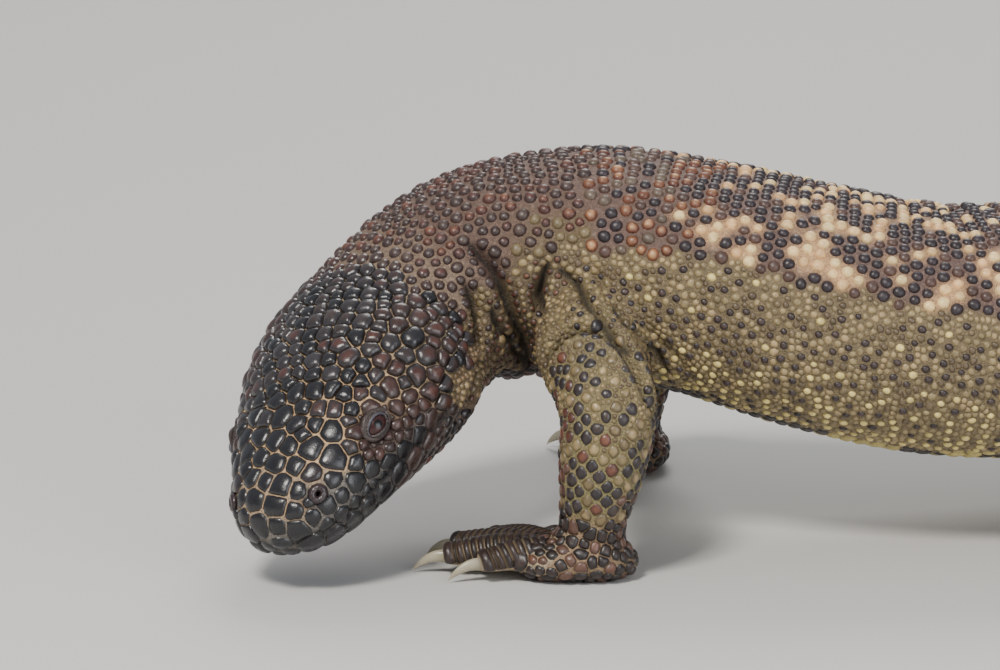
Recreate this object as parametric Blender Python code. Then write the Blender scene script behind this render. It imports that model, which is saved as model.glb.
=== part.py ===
"""A Rio Fuerte beaded lizard, life size, standing on four feet with its head lowered and turned left.

The animal faces -X and its left side faces -Y. Lengths in the tables are millimetres, and MM turns
them into metres. Snout to tail tip is one smooth loft, parted into lengths by thin gaps. Its skin is
laid out in six-sided cells, and the plates and beads are raised out of those cells.
"""
import math

import bmesh
import bpy
import numpy as np
from mathutils import Matrix, Vector

MM = 0.001
GAP = 0.3
UP = np.array([0.0, 0.0, 1.0])
OBJECT = "beaded_lizard"

# The tables' frame has its origin under the shoulders, and this is the middle of the footprint in it
FOOTPRINT_MIDDLE = (219.6, 33.5)

# The head's own axis runs forward from the back of the jaw muscles. Its roll, left side up, dies
# out over the given distances from the snout.
HEAD_BACK = np.array([-20.2, -6.0, 47.0])
HEAD_TURN = math.radians(64)
HEAD_DROOP = math.radians(30)
HEAD_ROLL = math.radians(14)
ROLL_DIES_OUT = (40.0, 86.0)
HEAD_LENGTH = 70.4
HEAD_SHAPE = [
    # forward along the head, half width, height above the axis, depth below it
    (8, 24.6, 19.4, 18.0),
    (18, 26.0, 20.0, 17.6),
    (28, 25.4, 19.6, 16.6),
    (37, 22.9, 18.2, 15.2),
    (44, 20.6, 16.6, 13.7),
    (52, 17.9, 14.3, 12.2),
    (60, 15.0, 11.6, 10.3),
    (65.5, 11.6, 9.0, 8.2),
    (68.8, 7.5, 5.9, 5.3),
    (HEAD_LENGTH, 2.8, 2.3, 2.1),
]

# The neck, trunk and tail
TRUNK_SHAPE = [
    # x, y, z of the centre, half width, height above it, depth below it
    (-3, 3, 57.5, 25.8, 20.6, 27.0),
    (20, 6, 59.5, 29.5, 22.5, 26.5),
    (44, 4, 55, 34.0, 24.2, 25.5),
    (66, 2, 49.5, 36.5, 25.2, 26.5),
    (90, 2, 44.5, 38.0, 25.8, 27.0),
    (120, 7, 42.5, 40.0, 26.4, 27.0),
    (155, 20, 40.5, 40.0, 26.0, 26.0),
    (190, 38, 39, 36.5, 25.0, 24.0),
    (218, 57, 37.5, 30.0, 22.0, 21.5),
    (238, 72, 35, 24.5, 19.5, 19.0),
    (262, 88, 29.5, 21.0, 18.5, 18.0),
    (292, 103, 22.5, 19.5, 18.0, 17.5),
    (326, 112, 17.2, 18.5, 17.0, 17.6),
    (362, 113, 14.2, 16.0, 14.6, 14.8),
    (400, 106, 11.4, 12.8, 11.8, 12.0),
    (436, 94, 8.5, 9.4, 8.8, 9.0),
    (468, 83, 5.7, 6.2, 5.8, 6.0),
    (494, 76, 3.6, 3.6, 3.4, 3.8),
]
BODY_ROUNDNESS = 2.25
LIMB_ROUNDNESS = 2.0

# Where the body is parted, as distances along its middle from the snout, with each length's cells
BODY_LENGTHS = [
    # name, start, end, cells round it, cells along it
    ("neck", 68, 112, 22, 6),
    ("torso_front", 112, 190, 28, 8),
    ("torso_mid", 190, 268, 28, 8),
    ("torso_rear", 268, 345, 26, 8),
    ("tail_base", 345, 440, 14, 9),
    ("tail_mid", 440, 535, 12, 9),
    ("tail_tip", 535, 627.5, 8, 10),
]
BEAD_HEIGHT = 1.3
BEADS_FROM = {"neck": -35, "torso": 8, "tail": -30}
SPARSE_BEADS_FROM = -35

# Head cells, in columns that follow the mouth line, and the plates on them
HEAD_CELLS_ALONG = 10
SNOUT_CROWDING = 1.25
BARE_SNOUT = 7.0
FEATURE_CLEARANCE = 5.2
HEAD_COLUMNS_ABOVE_MOUTH = 12
HEAD_COLUMNS_BELOW_MOUTH = 6
PLATE_HEIGHT = 0.8
PLATE_GROOVE = 0.75

# Mouth, eyes, nostrils and ears, in the head's frame: forward, to the side, up
MOUTH_BACK = 31.0
MOUTH_DROP = 2.6
MOUTH_LOWEST = 0.45
MOUTH_WIDTH = 0.6
MOUTH_DEPTH = 0.12
EYE_FORWARD = 45.2
EYE_UP = 7.8
EYE_RADIUS = 3.3
EYE_SUNK = 1.9
LID_RADIUS = 3.5
LID_THICKNESS = 1.05
LID_LENGTHENING = 1.2
LID_SUNK = 0.35
NOSTRIL_FORWARD = 63.6
NOSTRIL_UP = 5.8
NOSTRIL_SIZE = (1.5, 1.0, 1.1)
EAR_FORWARD = 8.0
EAR_UP = 1.0
EAR_SIZE = (2.0, 1.9, 4.6)

# Legs: joints from inside the body to the ankle, as outward, forward and up from the root
FORE_ROOT = (24.0, 6.0)
HIND_ROOT = (222.0, 60.0)
FORE_FACING = math.radians(180)
HIND_FACING = math.radians(217)
FORE_SIZES = [(13.0, 13.0), (12.0, 12.0), (10.2, 10.6), (9.2, 9.2), (8.0, 7.2)]
HIND_SIZES = [(14.0, 14.0), (12.6, 12.4), (10.4, 10.8), (9.0, 9.0), (8.0, 7.4)]
FORE_LEFT = [(14, 1, 52), (30, 4.5, 46), (50, 1.5, 34), (51.5, 3, 22), (50.5, 4.5, 12.5)]
FORE_RIGHT = [(14, -3, 50), (30, -6, 44), (47, -7.5, 32), (49, -6, 22), (49, -5, 12.5)]
HIND_LEFT = [(10, 4, 36), (26, 8, 35.5), (39, 10, 31.5), (45, 7, 23), (45, 5, 12.5)]
HIND_RIGHT = [(10, -2, 36), (26, -4, 35.5), (39, -7, 31.5), (45, -11, 23), (45, -12.5, 12.5)]
ELBOW = 0.52
LIMB_CELLS_ROUND = 8
UPPER_CELLS_ALONG = 5
LOWER_CELLS_ALONG = 4
LIMB_BEAD_HEIGHT = 0.9
SHELL_GAP = 0.5
LEG_ROOT_MARGIN = 7.0
LEG_ROOT_SPAN = 50.0
LEG_BEADS_FROM = -3.0

# Feet: the sole's pad from heel to toes, and toes that fan out from its middle, inner toe first
PALM = [
    # forward from the ankle, up, half width, thickness above and below
    (-8.0, 3.2, 4.6, 2.8),
    (-5.5, 3.9, 7.6, 4.3),
    (0.0, 4.7, 9.4, 5.4),
    (6.0, 4.4, 10.4, 5.0),
    (11.0, 3.9, 9.8, 4.3),
    (14.5, 3.6, 7.4, 3.3),
]
ANKLE_SUNK = 7.5
TOE_START = 6.0
TOE_TIP_HEIGHT = 3.8
TOE_RADIUS = 3.7
CLAW_LENGTH = 9.0
CLAW_RADIUS = 1.75
CLAW_NARROWNESS = 0.8
TOE_LINE = [
    # share of the toe's length, share of the claw's, rise above the tip, toe's and claw's thickness
    (0.0, 0.0, 0.6, 1.0, 1.0),
    (0.55, 0.0, 1.2, 0.98, 1.0),
    (1.0, 0.0, 0.0, 0.72, 1.0),
    (1.0, 0.42, -0.3, 0.5, 0.78),
    (1.0, 0.75, -1.9, 0.4, 0.45),
    (1.0, 0.92, -3.3, 0.3, 0.12),
]
CLAW_ROOT_ROW = 2
FORE_TOES = [16.0, 22.0, 25.0, 24.0, 17.0]
HIND_TOES = [15.0, 22.0, 27.0, 28.0, 20.0]
PHOTO_FAN = [-74, -44, -22, 0, 20]
EVEN_FAN = [-58, -28, -5, 17, 46]
CLOSE_FAN = [-36, -19, -3, 13, 30]

# Colours and roughness
HEAD_LOOK = ((0.018, 0.014, 0.016), 0.32)
NECK_LOOK = ((0.075, 0.042, 0.036), 0.55)
TRUNK_LOOK = ((0.15, 0.105, 0.06), 0.6)
TAIL_LOOK = ((0.10, 0.07, 0.05), 0.6)
LEG_LOOK = ((0.16, 0.13, 0.07), 0.6)
FOOT_LOOK = ((0.085, 0.055, 0.035), 0.5)
EYE_LOOK = ((0.02, 0.008, 0.006), 0.08)
CLAW_LOOK = ((0.48, 0.42, 0.30), 0.35)


class Loft:
    """A closed tube round a smooth line. Rows are x, y, z, half width, height above, depth below."""

    def __init__(self, rows, reference=UP, roundness=LIMB_ROUNDNESS, roll=None):
        self.rows = np.array(rows, float)
        self.reference = np.array(reference, float)
        self.roundness = roundness
        self.roll = roll
        steps = np.linalg.norm(np.diff(self.rows[:, :3], axis=0), axis=1)
        self.knots = np.concatenate([[0.0], np.cumsum(steps)])
        self.length = self.knots[-1]

    def at(self, s):
        """The rows' values at distances s, on a cubic through them."""
        knots, rows = self.knots, self.rows
        step = np.diff(knots)[:, None]
        rise = np.diff(rows, axis=0) / step
        slope = np.vstack([rise[:1], rise, rise[-1:]])
        slope = (slope[:-1] + slope[1:]) / 2
        slope[1:-1] = (rise[:-1] * step[1:] + rise[1:] * step[:-1]) / (step[1:] + step[:-1])
        i = np.clip(np.searchsorted(knots, s, side="right") - 1, 0, len(knots) - 2)
        h = step[i]
        u = (s - knots[i])[:, None] / h
        return ((2 * u**3 - 3 * u**2 + 1) * rows[i] + (u**3 - 2 * u**2 + u) * h * slope[i]
                + (3 * u**2 - 2 * u**3) * rows[i + 1] + (u**3 - u**2) * h * slope[i + 1])

    def frame(self, s):
        """Centre, direction, side and up vectors at distances s."""
        nudge = 0.5
        rows = self.at(s)
        along = self.at(np.minimum(s + nudge, self.length)) - self.at(np.maximum(s - nudge, 0))
        along = unit(along[:, :3])
        side = unit(np.cross(along, self.reference))
        up = np.cross(side, along)
        if self.roll:
            side, up = rolled(side, up, self.roll(s)[:, None])
        return rows, along, side, up

    def surface(self, s, angle, skin=0.0):
        """Points of the skin at distances s and angles from the side, grown outward by skin."""
        shape = np.broadcast(s, angle).shape
        s = np.broadcast_to(s, shape).ravel().astype(float)
        angle = np.broadcast_to(angle, shape).ravel()
        rows, _, side, up = self.frame(s)
        across = curved(np.cos(angle), self.roundness) * (rows[:, 3] + skin)
        rise = curved(np.sin(angle), self.roundness)
        rise = rise * (np.where(rise > 0, rows[:, 4], rows[:, 5]) + skin)
        points = rows[:, :3] + side * across[:, None] + up * rise[:, None]
        return points.reshape(*shape, 3)


def unit(v):
    return v / np.linalg.norm(v, axis=-1, keepdims=True)


def curved(x, roundness):
    """A superellipse's coordinate from a circle's."""
    return np.sign(x) * np.abs(x) ** (2 / roundness)


def rolled(side, up, turn):
    """A section's two axes, turned so that its left side rises."""
    return side * np.cos(turn) + up * np.sin(turn), up * np.cos(turn) - side * np.sin(turn)


def head_roll(s):
    """How far the head's sections are rolled at distances s from the snout."""
    start, end = ROLL_DIES_OUT
    left_over = np.clip((end - s) / (end - start), 0, 1)
    return HEAD_ROLL * left_over**2 * (3 - 2 * left_over)


def head_frame():
    """Unit vectors forward along the head, to its left and up through its crown."""
    level = np.array([-math.cos(HEAD_TURN), -math.sin(HEAD_TURN), 0.0])
    forward = level * math.cos(HEAD_DROOP) - UP * math.sin(HEAD_DROOP)
    left = unit(np.cross(UP, forward))
    return forward, *rolled(left, np.cross(forward, left), HEAD_ROLL)


def in_head(forward, left, up):
    """A point of the head's frame in the tables' frame."""
    f, l, u = head_frame()
    return HEAD_BACK + f * forward + l * left + u * up


def body_loft():
    """The whole body from the snout to the tip of the tail."""
    forward, _, _ = head_frame()
    head = [(*(HEAD_BACK + forward * x), wide, high, deep) for x, wide, high, deep in HEAD_SHAPE]
    return Loft(head[::-1] + TRUNK_SHAPE, roundness=BODY_ROUNDNESS, roll=head_roll)


def to_part(point):
    """The tables' millimetres to the part's metres."""
    middle = np.array([*FOOTPRINT_MIDDLE, 0.0])
    return (np.asarray(point, float) - middle) * MM


def collection(name):
    found = bpy.data.collections.get(name)
    if found is None:
        found = bpy.data.collections.new(name)
        bpy.context.scene.collection.children.link(found)
    return found


def new_object(name, bm, folder=OBJECT):
    """An object from a bmesh, with its faces turned outward."""
    bmesh.ops.recalc_face_normals(bm, faces=bm.faces)
    if bm.calc_volume(signed=True) < 0:
        bmesh.ops.reverse_faces(bm, faces=bm.faces)
    mesh = bpy.data.meshes.new(name)
    bm.to_mesh(mesh)
    bm.free()
    obj = bpy.data.objects.new(name, mesh)
    collection(folder).objects.link(obj)
    return obj


def finish(obj, look):
    """Gives an object its material and smooth shading."""
    colour, roughness = look
    material = bpy.data.materials.new(obj.name)
    material.use_nodes = True
    shader = material.node_tree.nodes["Principled BSDF"]
    shader.inputs["Base Color"].default_value = (*colour, 1.0)
    shader.inputs["Roughness"].default_value = roughness
    shader.inputs["Metallic"].default_value = 0.0
    obj.data.materials.clear()
    obj.data.materials.append(material)
    obj.data.shade_smooth()
    obj.data.set_sharp_from_angle(angle=math.radians(50))


def grid(points):
    """A closed bmesh from rings of points, with flat ends, and its side faces in rings."""
    bm = bmesh.new()
    rings = [[bm.verts.new(to_part(p)) for p in ring] for ring in points]
    count = len(rings[0])
    for low, high in zip(rings, rings[1:]):
        for j in range(count):
            k = (j + 1) % count
            bm.faces.new((low[j], low[k], high[k], high[j]))
    bm.faces.new(rings[0][::-1])
    bm.faces.new(rings[-1])
    return bm


def parted(loft, s, points):
    """Draws the first and last ring in by half a gap, so that lengths of one loft part in a plane."""
    _, along, _, _ = loft.frame(s[[0, -1]])
    points[0] += along[0] * GAP / 2
    points[-1] -= along[1] * GAP / 2
    return points


def tube(loft, start, end, count, steps, skin=0.0):
    """A plain closed length of a loft."""
    s = np.linspace(start, end, steps)
    angle = np.arange(count) * 2 * math.pi / count
    return grid(parted(loft, s, loft.surface(s[:, None], angle[None], skin)))


def cells(loft, start, end, angles, along, zigzag, kind, crowding=1.0):
    """A closed length of a loft with a skin of six-sided cells.

    angles gives each column line's angle at distances s, and zigzag how far it swings, line by line.
    kind says for each cell, from its distance and angle, whether it is a plate, a bead or plain.
    A crowding above 1 draws the cells closer together towards the start.
    """
    bm = bmesh.new()
    half = 2 * along
    s = start + (end - start) * np.linspace(0, 1, half + 1) ** crowding
    lines = angles(s)
    count = lines.shape[1]
    i, j = np.meshgrid(np.arange(half + 1), np.arange(count), indexing="ij")
    lines = lines + np.where((i + j) % 2 == 0, 1, -1) * zigzag(s)
    points = parted(loft, s, loft.surface(s[:, None], lines))
    verts = [[bm.verts.new(to_part(p)) for p in ring] for ring in points]
    chosen = {"plate": [], "bead": []}
    for column in range(count):
        right = (column + 1) % count
        turn = 2 * math.pi if right == 0 else 0.0
        first = [0] if column % 2 == 0 else [0, 1]
        starts = first + list(range(first[-1] + 2, half, 2))
        for a in starts:
            b = min(a + 2, half) if not (column % 2 and a == 0) else 1
            edge = [verts[r][column] for r in range(a, b + 1)]
            back = [verts[r][right] for r in range(b, a - 1, -1)]
            face = bm.faces.new(edge + back)
            if b - a < 2:
                continue
            middle = (lines[a + 1][column] + lines[a + 1][right] + turn) / 2
            what = kind(s[a + 1], middle, column, a)
            if what:
                chosen[what].append(face)
    bm.faces.new(verts[0])
    bm.faces.new(verts[-1][::-1])
    bmesh.ops.recalc_face_normals(bm, faces=bm.faces)
    return bm, chosen


def even_lines(count):
    """Column lines spread evenly round a loft, and their swing for regular six-sided cells."""
    step = 2 * math.pi / count

    def angles(s):
        return np.broadcast_to(np.arange(count) * step - math.pi / 2, (len(s), count))

    return angles, lambda s: step / 6


def above(angle):
    """How far an angle round the body is above the side, in degrees, from -90 to 90."""
    return math.degrees(math.asin(max(-1.0, min(1.0, math.sin(angle)))))


def cut_level(bm):
    """Cuts off all below the floor and closes the flats that this leaves."""
    geometry = bm.verts[:] + bm.edges[:] + bm.faces[:]
    bmesh.ops.bisect_plane(bm, geom=geometry, dist=1e-7, plane_co=(0, 0, 0), plane_no=(0, 0, 1),
                           clear_inner=True)
    for vert in bm.verts:
        if vert.co.z < 1e-6:
            vert.co.z = 0.0
    edges = [edge for edge in bm.edges if edge.is_boundary]
    if edges:
        bmesh.ops.edgeloop_fill(bm, edges=edges)


def applied(obj):
    """Applies an object's modifiers and keeps the largest closed surface of the result."""
    graph = bpy.context.evaluated_depsgraph_get()
    mesh = bpy.data.meshes.new_from_object(obj.evaluated_get(graph))
    obj.modifiers.clear()
    bm = bmesh.new()
    bm.from_mesh(mesh)
    bmesh.ops.remove_doubles(bm, verts=bm.verts, dist=1e-6)
    bmesh.ops.dissolve_degenerate(bm, edges=bm.edges, dist=1e-6)
    keep_largest(bm)
    bmesh.ops.triangulate(bm, faces=bm.faces)
    bm.to_mesh(mesh)
    bm.free()
    obj.data = mesh


def keep_largest(bm):
    """Deletes all but the largest surface whose faces share edges."""
    seen = set()
    groups = []
    for start in bm.faces:
        if start in seen:
            continue
        group = [start]
        seen.add(start)
        for face in group:
            for edge in face.edges:
                fresh = [other for other in edge.link_faces if other not in seen]
                seen.update(fresh)
                group.extend(fresh)
        groups.append(group)
    groups.sort(key=len)
    for group in groups[:-1]:
        bmesh.ops.delete(bm, geom=group, context="FACES")


def combine(obj, pieces, operation):
    """Joins pieces to an object, or cuts them from it, with one Boolean on their collection."""
    folder = collection("pieces")
    for piece in pieces:
        for owner in piece.users_collection:
            owner.objects.unlink(piece)
        folder.objects.link(piece)
    modifier = obj.modifiers.new(operation, "BOOLEAN")
    modifier.operation = operation
    modifier.operand_type = "COLLECTION"
    modifier.collection = folder
    modifier.solver = "EXACT"
    bpy.context.view_layer.update()
    applied(obj)
    for piece in pieces:
        bpy.data.objects.remove(piece)
    bpy.data.collections.remove(folder)


def ball(name, centre, axes, sizes, segments=12, rings=8):
    """An ellipsoid on three given axes."""
    bm = bmesh.new()
    bmesh.ops.create_uvsphere(bm, u_segments=segments, v_segments=rings, radius=1.0)
    turn = Matrix([list(a * size * MM) for a, size in zip(axes, sizes)]).transposed().to_4x4()
    bmesh.ops.transform(bm, matrix=Matrix.Translation(Vector(to_part(centre))) @ turn, verts=bm.verts)
    return new_object(name, bm, "cutters")


def on_head(loft, forward, up, side):
    """The skin's point and outward direction at a place on the side of the head."""
    s = HEAD_LENGTH - forward
    rows, _, _, _ = loft.frame(np.array([s]))
    rise = up / rows[0, 4 if up > 0 else 5]
    angle = math.copysign(math.asin(abs(rise) ** (BODY_ROUNDNESS / 2)), rise)
    if side < 0:
        angle = math.pi - angle
    step = 0.02
    around = loft.surface(np.array([s, s, s - 1, s + 1]), np.array([angle - step, angle + step, angle, angle]))
    point = loft.surface(s, angle)
    normal = unit(np.cross(around[1] - around[0], around[3] - around[2]))
    centre = rows[0, :3]
    return point, normal if normal @ (point - centre) > 0 else -normal


def mouth_blade():
    """A thin blade that follows the mouth line round the snout, to cut the mouth with."""
    sides = [(x, w) for x, w, _, _ in HEAD_SHAPE if x >= MOUTH_BACK]
    outline = sides + [(x, -w) for x, w in sides[::-1]]
    points = []
    for x, w in outline:
        ring = []
        for scale, drop in ((1 + MOUTH_DEPTH, -1), (1 + MOUTH_DEPTH, 1), (1 - MOUTH_DEPTH, 1), (1 - MOUTH_DEPTH, -1)):
            forward = MOUTH_BACK + (x - MOUTH_BACK) * scale
            ring.append(in_head(forward, w * scale, -MOUTH_DROP + drop * MOUTH_WIDTH / 2))
        points.append(ring)
    return new_object("mouth_blade", grid(points), "cutters")


def make_head(loft):
    """The head: plates raised from its cells, lids, and the cuts for mouth, eyes, nostrils and ears."""
    above_mouth = HEAD_COLUMNS_ABOVE_MOUTH
    below_mouth = HEAD_COLUMNS_BELOW_MOUTH

    def dip(s):
        level = np.minimum(MOUTH_DROP / loft.at(s)[:, 5], MOUTH_LOWEST)
        return np.arcsin(level ** (BODY_ROUNDNESS / 2))[:, None]

    def angles(s):
        top = -dip(s) + np.arange(above_mouth)[None] / above_mouth * (math.pi + 2 * dip(s))
        low = math.pi + dip(s) + np.arange(below_mouth)[None] / below_mouth * (math.pi - 2 * dip(s))
        return np.hstack([top, low])

    def zigzag(s):
        top = np.repeat((math.pi + 2 * dip(s)) / above_mouth / 6, above_mouth, axis=1)
        low = np.repeat((math.pi - 2 * dip(s)) / below_mouth / 6, below_mouth, axis=1)
        top[:, 0] = 0.0
        low[:, 0] = 0.0
        return np.hstack([top, low])

    features = [on_head(loft, f, u, side)[0] for side in (1, -1)
                for f, u in ((EYE_FORWARD, EYE_UP), (NOSTRIL_FORWARD, NOSTRIL_UP), (EAR_FORWARD, EAR_UP))]

    def kind(s, angle, column, a):
        here = loft.surface(s, angle)
        if min(np.linalg.norm(here - f) for f in features) < FEATURE_CLEARANCE or s < BARE_SNOUT:
            return None
        labial = column in (above_mouth, above_mouth + below_mouth - 1)
        if column < above_mouth or (labial and HEAD_LENGTH - s > MOUTH_BACK):
            return "plate"
        return None

    bm, chosen = cells(loft, 0.0, BODY_LENGTHS[0][1], angles, HEAD_CELLS_ALONG, zigzag, kind,
                       SNOUT_CROWDING)
    bmesh.ops.inset_individual(bm, faces=chosen["plate"], thickness=PLATE_GROOVE * MM,
                               depth=PLATE_HEIGHT * MM)
    bmesh.ops.triangulate(bm, faces=bm.faces)
    head = new_object("head", bm)

    lids = []
    cutters = [mouth_blade()]
    forward, _, _ = head_frame()
    for side in (1, -1):
        point, normal = on_head(loft, EYE_FORWARD, EYE_UP, side)
        ahead = unit(forward - normal * (forward @ normal))
        axes = (ahead, np.cross(normal, ahead), normal)
        lids.append(lid(point, axes))
        cutters.append(ball("socket", point - normal * EYE_SUNK, axes, [EYE_RADIUS + GAP] * 3, 12, 8))
        eye = ball("eye_left" if side > 0 else "eye_right", point - normal * EYE_SUNK, axes,
                   [EYE_RADIUS] * 3, 12, 8)
        collection("cutters").objects.unlink(eye)
        collection(OBJECT).objects.link(eye)
        finish(eye, EYE_LOOK)
        for name, where, size in (("nostril", (NOSTRIL_FORWARD, NOSTRIL_UP), NOSTRIL_SIZE),
                                  ("ear", (EAR_FORWARD, EAR_UP), EAR_SIZE)):
            point, normal = on_head(loft, *where, side)
            ahead = unit(forward - normal * (forward @ normal))
            cutters.append(ball(name, point, (ahead, normal, np.cross(normal, ahead)), size, 10, 6))
    combine(head, lids, "UNION")
    combine(head, cutters, "DIFFERENCE")
    finish(head, HEAD_LOOK)


def lid(point, axes):
    """The ring of an eye's two lids, longer than it is high."""
    ahead, high, normal = axes
    points = []
    for t in np.arange(14) * 2 * math.pi / 14:
        outward = ahead * math.cos(t) * LID_LENGTHENING + high * math.sin(t)
        middle = point + outward * LID_RADIUS - normal * LID_SUNK
        ring = []
        for r in np.arange(6) * 2 * math.pi / 6:
            ring.append(middle + (unit(outward) * math.cos(r) + normal * math.sin(r)) * LID_THICKNESS)
        points.append(ring)
    bm = bmesh.new()
    rings = [[bm.verts.new(to_part(p)) for p in ring] for ring in points]
    for k, ring in enumerate(rings):
        following = rings[(k + 1) % len(rings)]
        for j in range(6):
            bm.faces.new((ring[j], ring[(j + 1) % 6], following[(j + 1) % 6], following[j]))
    return new_object("lid", bm, "cutters")


def near_legs(point, legs):
    """Whether a point of the body's skin lies where a leg grows out."""
    for leg in legs:
        rows = leg.at(np.linspace(0, leg.length / 2, 12))
        gap = np.linalg.norm(rows[:, :3] - point, axis=1) - rows[:, 3]
        if gap.min() < LEG_ROOT_MARGIN:
            return True
    return False


def make_body(loft, legs):
    """The neck, the torso's three lengths and the tail's three."""
    looks = {"neck": NECK_LOOK, "torso": TRUNK_LOOK, "tail": TAIL_LOOK}
    for name, start, end, count, along in BODY_LENGTHS:
        part = name.split("_")[0]

        def kind(s, angle, column, a):
            height = above(angle)
            sparse = part == "torso" and height > SPARSE_BEADS_FROM and (column + a) % 3 == 0
            if near_legs(loft.surface(s, angle), legs):
                return None
            return "bead" if height > BEADS_FROM[part] or sparse else None

        angles, zigzag = even_lines(count)
        bm, chosen = cells(loft, start, end, angles, along, zigzag, kind)
        bmesh.ops.poke(bm, faces=chosen["bead"], offset=BEAD_HEIGHT * MM)
        bmesh.ops.triangulate(bm, faces=bm.faces)
        cut_level(bm)
        bmesh.ops.triangulate(bm, faces=bm.faces)
        finish(new_object(name, bm), looks[part])


def turned(angle):
    return np.array([math.cos(angle), math.sin(angle), 0.0])


def leg_loft(root, forward, out, joints, sizes):
    """A leg's line and thickness from inside the body to the ankle."""
    rows = []
    for (outward, ahead, up), (wide, thick) in zip(joints, sizes):
        rows.append((*(np.array([*root, up]) + out * outward + forward * ahead), wide, thick, thick))
    return Loft(rows, reference=forward)


def make_leg(name, root, loft, out, body):
    """A leg's upper and lower nodes."""
    elbow = loft.length * ELBOW
    pieces = (("upper", 0.0, elbow, UPPER_CELLS_ALONG),
              ("lower", elbow, loft.length, LOWER_CELLS_ALONG))
    for piece, start, end, along in pieces:
        angles, zigzag = even_lines(LIMB_CELLS_ROUND)

        def kind(s, angle, column, a):
            here = loft.surface(s, angle)
            middle = loft.at(np.array([s]))[0, :3]
            outside = (here - middle) @ (out + UP * 0.5)
            return "bead" if outside > LEG_BEADS_FROM else None

        bm, chosen = cells(loft, start, end, angles, along, zigzag, kind)
        bmesh.ops.poke(bm, faces=chosen["bead"], offset=LIMB_BEAD_HEIGHT * MM)
        bmesh.ops.triangulate(bm, faces=bm.faces)
        obj = new_object(f"{name}_{piece}", bm)
        if piece == "upper":
            shell = new_object("body_shell", tube(body, *body_span(body, root), 40, 32, SHELL_GAP), "cutters")
            combine(obj, [shell], "DIFFERENCE")
        finish(obj, LEG_LOOK)


def body_span(body, root):
    """The stretch of the body, as distances from the snout, that a leg's root may meet."""
    s = np.linspace(0, body.length, 400)
    gap = np.linalg.norm(body.at(s)[:, :2] - np.array(root), axis=1)
    nearest = s[gap.argmin()]
    return nearest - LEG_ROOT_SPAN, nearest + LEG_ROOT_SPAN


def make_foot(name, leg, forward, out, heading, fan, toes):
    """A foot: ankle, palm and toes in one node, and each claw in its own."""
    ahead = forward * math.cos(heading) + out * math.sin(heading)
    across = out * math.cos(heading) - forward * math.sin(heading)
    end, down, _, _ = leg.frame(np.array([leg.length]))
    ankle = end[0, :3]
    rows = [(*(np.array([*ankle[:2], up]) + ahead * x), wide, thick, thick) for x, up, wide, thick in PALM]
    palm = Loft(rows)
    foot = new_object(f"{name}_foot", tube(palm, 0, palm.length, 10, 7))
    stub = Loft([(*ankle, *end[0, 3:]), (*(ankle + down[0] * ANKLE_SUNK), *end[0, 3:])], reference=forward)
    pieces = [new_object("ankle", tube(stub, 0, stub.length, LIMB_CELLS_ROUND, 2), "cutters")]
    for number, (spread, length) in enumerate(zip(fan, toes), start=1):
        spread = math.radians(spread)
        along = ahead * math.cos(spread) + across * math.sin(spread)
        start = np.array([*ankle[:2], 0]) + ahead * TOE_START
        toe_rows = []
        claw_rows = []
        for toe_share, claw_share, rise, thick, claw_thick in TOE_LINE:
            point = (start + along * (length * toe_share + CLAW_LENGTH * claw_share)
                     + UP * (TOE_TIP_HEIGHT + rise))
            thick *= TOE_RADIUS
            claw_thick *= CLAW_RADIUS
            toe_rows.append((*point, thick, thick, thick))
            claw_rows.append((*point, claw_thick * CLAW_NARROWNESS, claw_thick, claw_thick))
        toe_loft = Loft(toe_rows)
        claw_loft = Loft(claw_rows)
        root = toe_loft.knots[CLAW_ROOT_ROW]
        pieces.append(new_object("toe", tube(toe_loft, 0, root, 7, 5), "cutters"))
        bm = tube(claw_loft, root, claw_loft.length, 6, 5)
        finish(new_object(f"{name}_claw_{number}", bm), CLAW_LOOK)
    combine(foot, pieces, "UNION")
    bm = bmesh.new()
    bm.from_mesh(foot.data)
    cut_level(bm)
    bmesh.ops.triangulate(bm, faces=bm.faces)
    bm.to_mesh(foot.data)
    bm.free()
    finish(foot, FOOT_LOOK)


def main():
    for obj in list(bpy.data.objects):
        bpy.data.objects.remove(obj)
    body = body_loft()
    make_head(body)
    plans = (
        ("foreleg_left", FORE_ROOT, FORE_FACING, 1, FORE_LEFT, FORE_SIZES, -6, PHOTO_FAN, FORE_TOES),
        ("foreleg_right", FORE_ROOT, FORE_FACING, -1, FORE_RIGHT, FORE_SIZES, 80, CLOSE_FAN, FORE_TOES),
        ("hindleg_left", HIND_ROOT, HIND_FACING, 1, HIND_LEFT, HIND_SIZES, 28, EVEN_FAN, HIND_TOES),
        ("hindleg_right", HIND_ROOT, HIND_FACING, -1, HIND_RIGHT, HIND_SIZES, 28, EVEN_FAN, HIND_TOES),
    )
    legs = []
    for name, root, facing, side, joints, sizes, heading, fan, toes in plans:
        forward = turned(facing)
        out = turned(facing + side * math.pi / 2)
        leg = leg_loft(root, forward, out, joints, sizes)
        make_leg(name, root, leg, out, body)
        make_foot(name, leg, forward, out, math.radians(heading), fan, toes)
        legs.append(leg)
    make_body(body, legs)


main()
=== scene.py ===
"""The looks of a life-size Rio Fuerte beaded lizard: one skin with folds, and scales laid over it.

The tables' lengths are millimetres, in a frame with its origin under the shoulders, as in the part.
The animal faces -X and its left side, towards the camera, faces -Y. On the body a place is given by
its distance from the snout and its angle round the body: 0 is the left side, 90 the back, 180 the
right side and -90 the belly.
"""

import math

import bmesh
import bpy
import numpy as np
from mathutils import Matrix, Vector, noise
from mathutils.bvhtree import BVHTree
from mathutils.kdtree import KDTree


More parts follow.
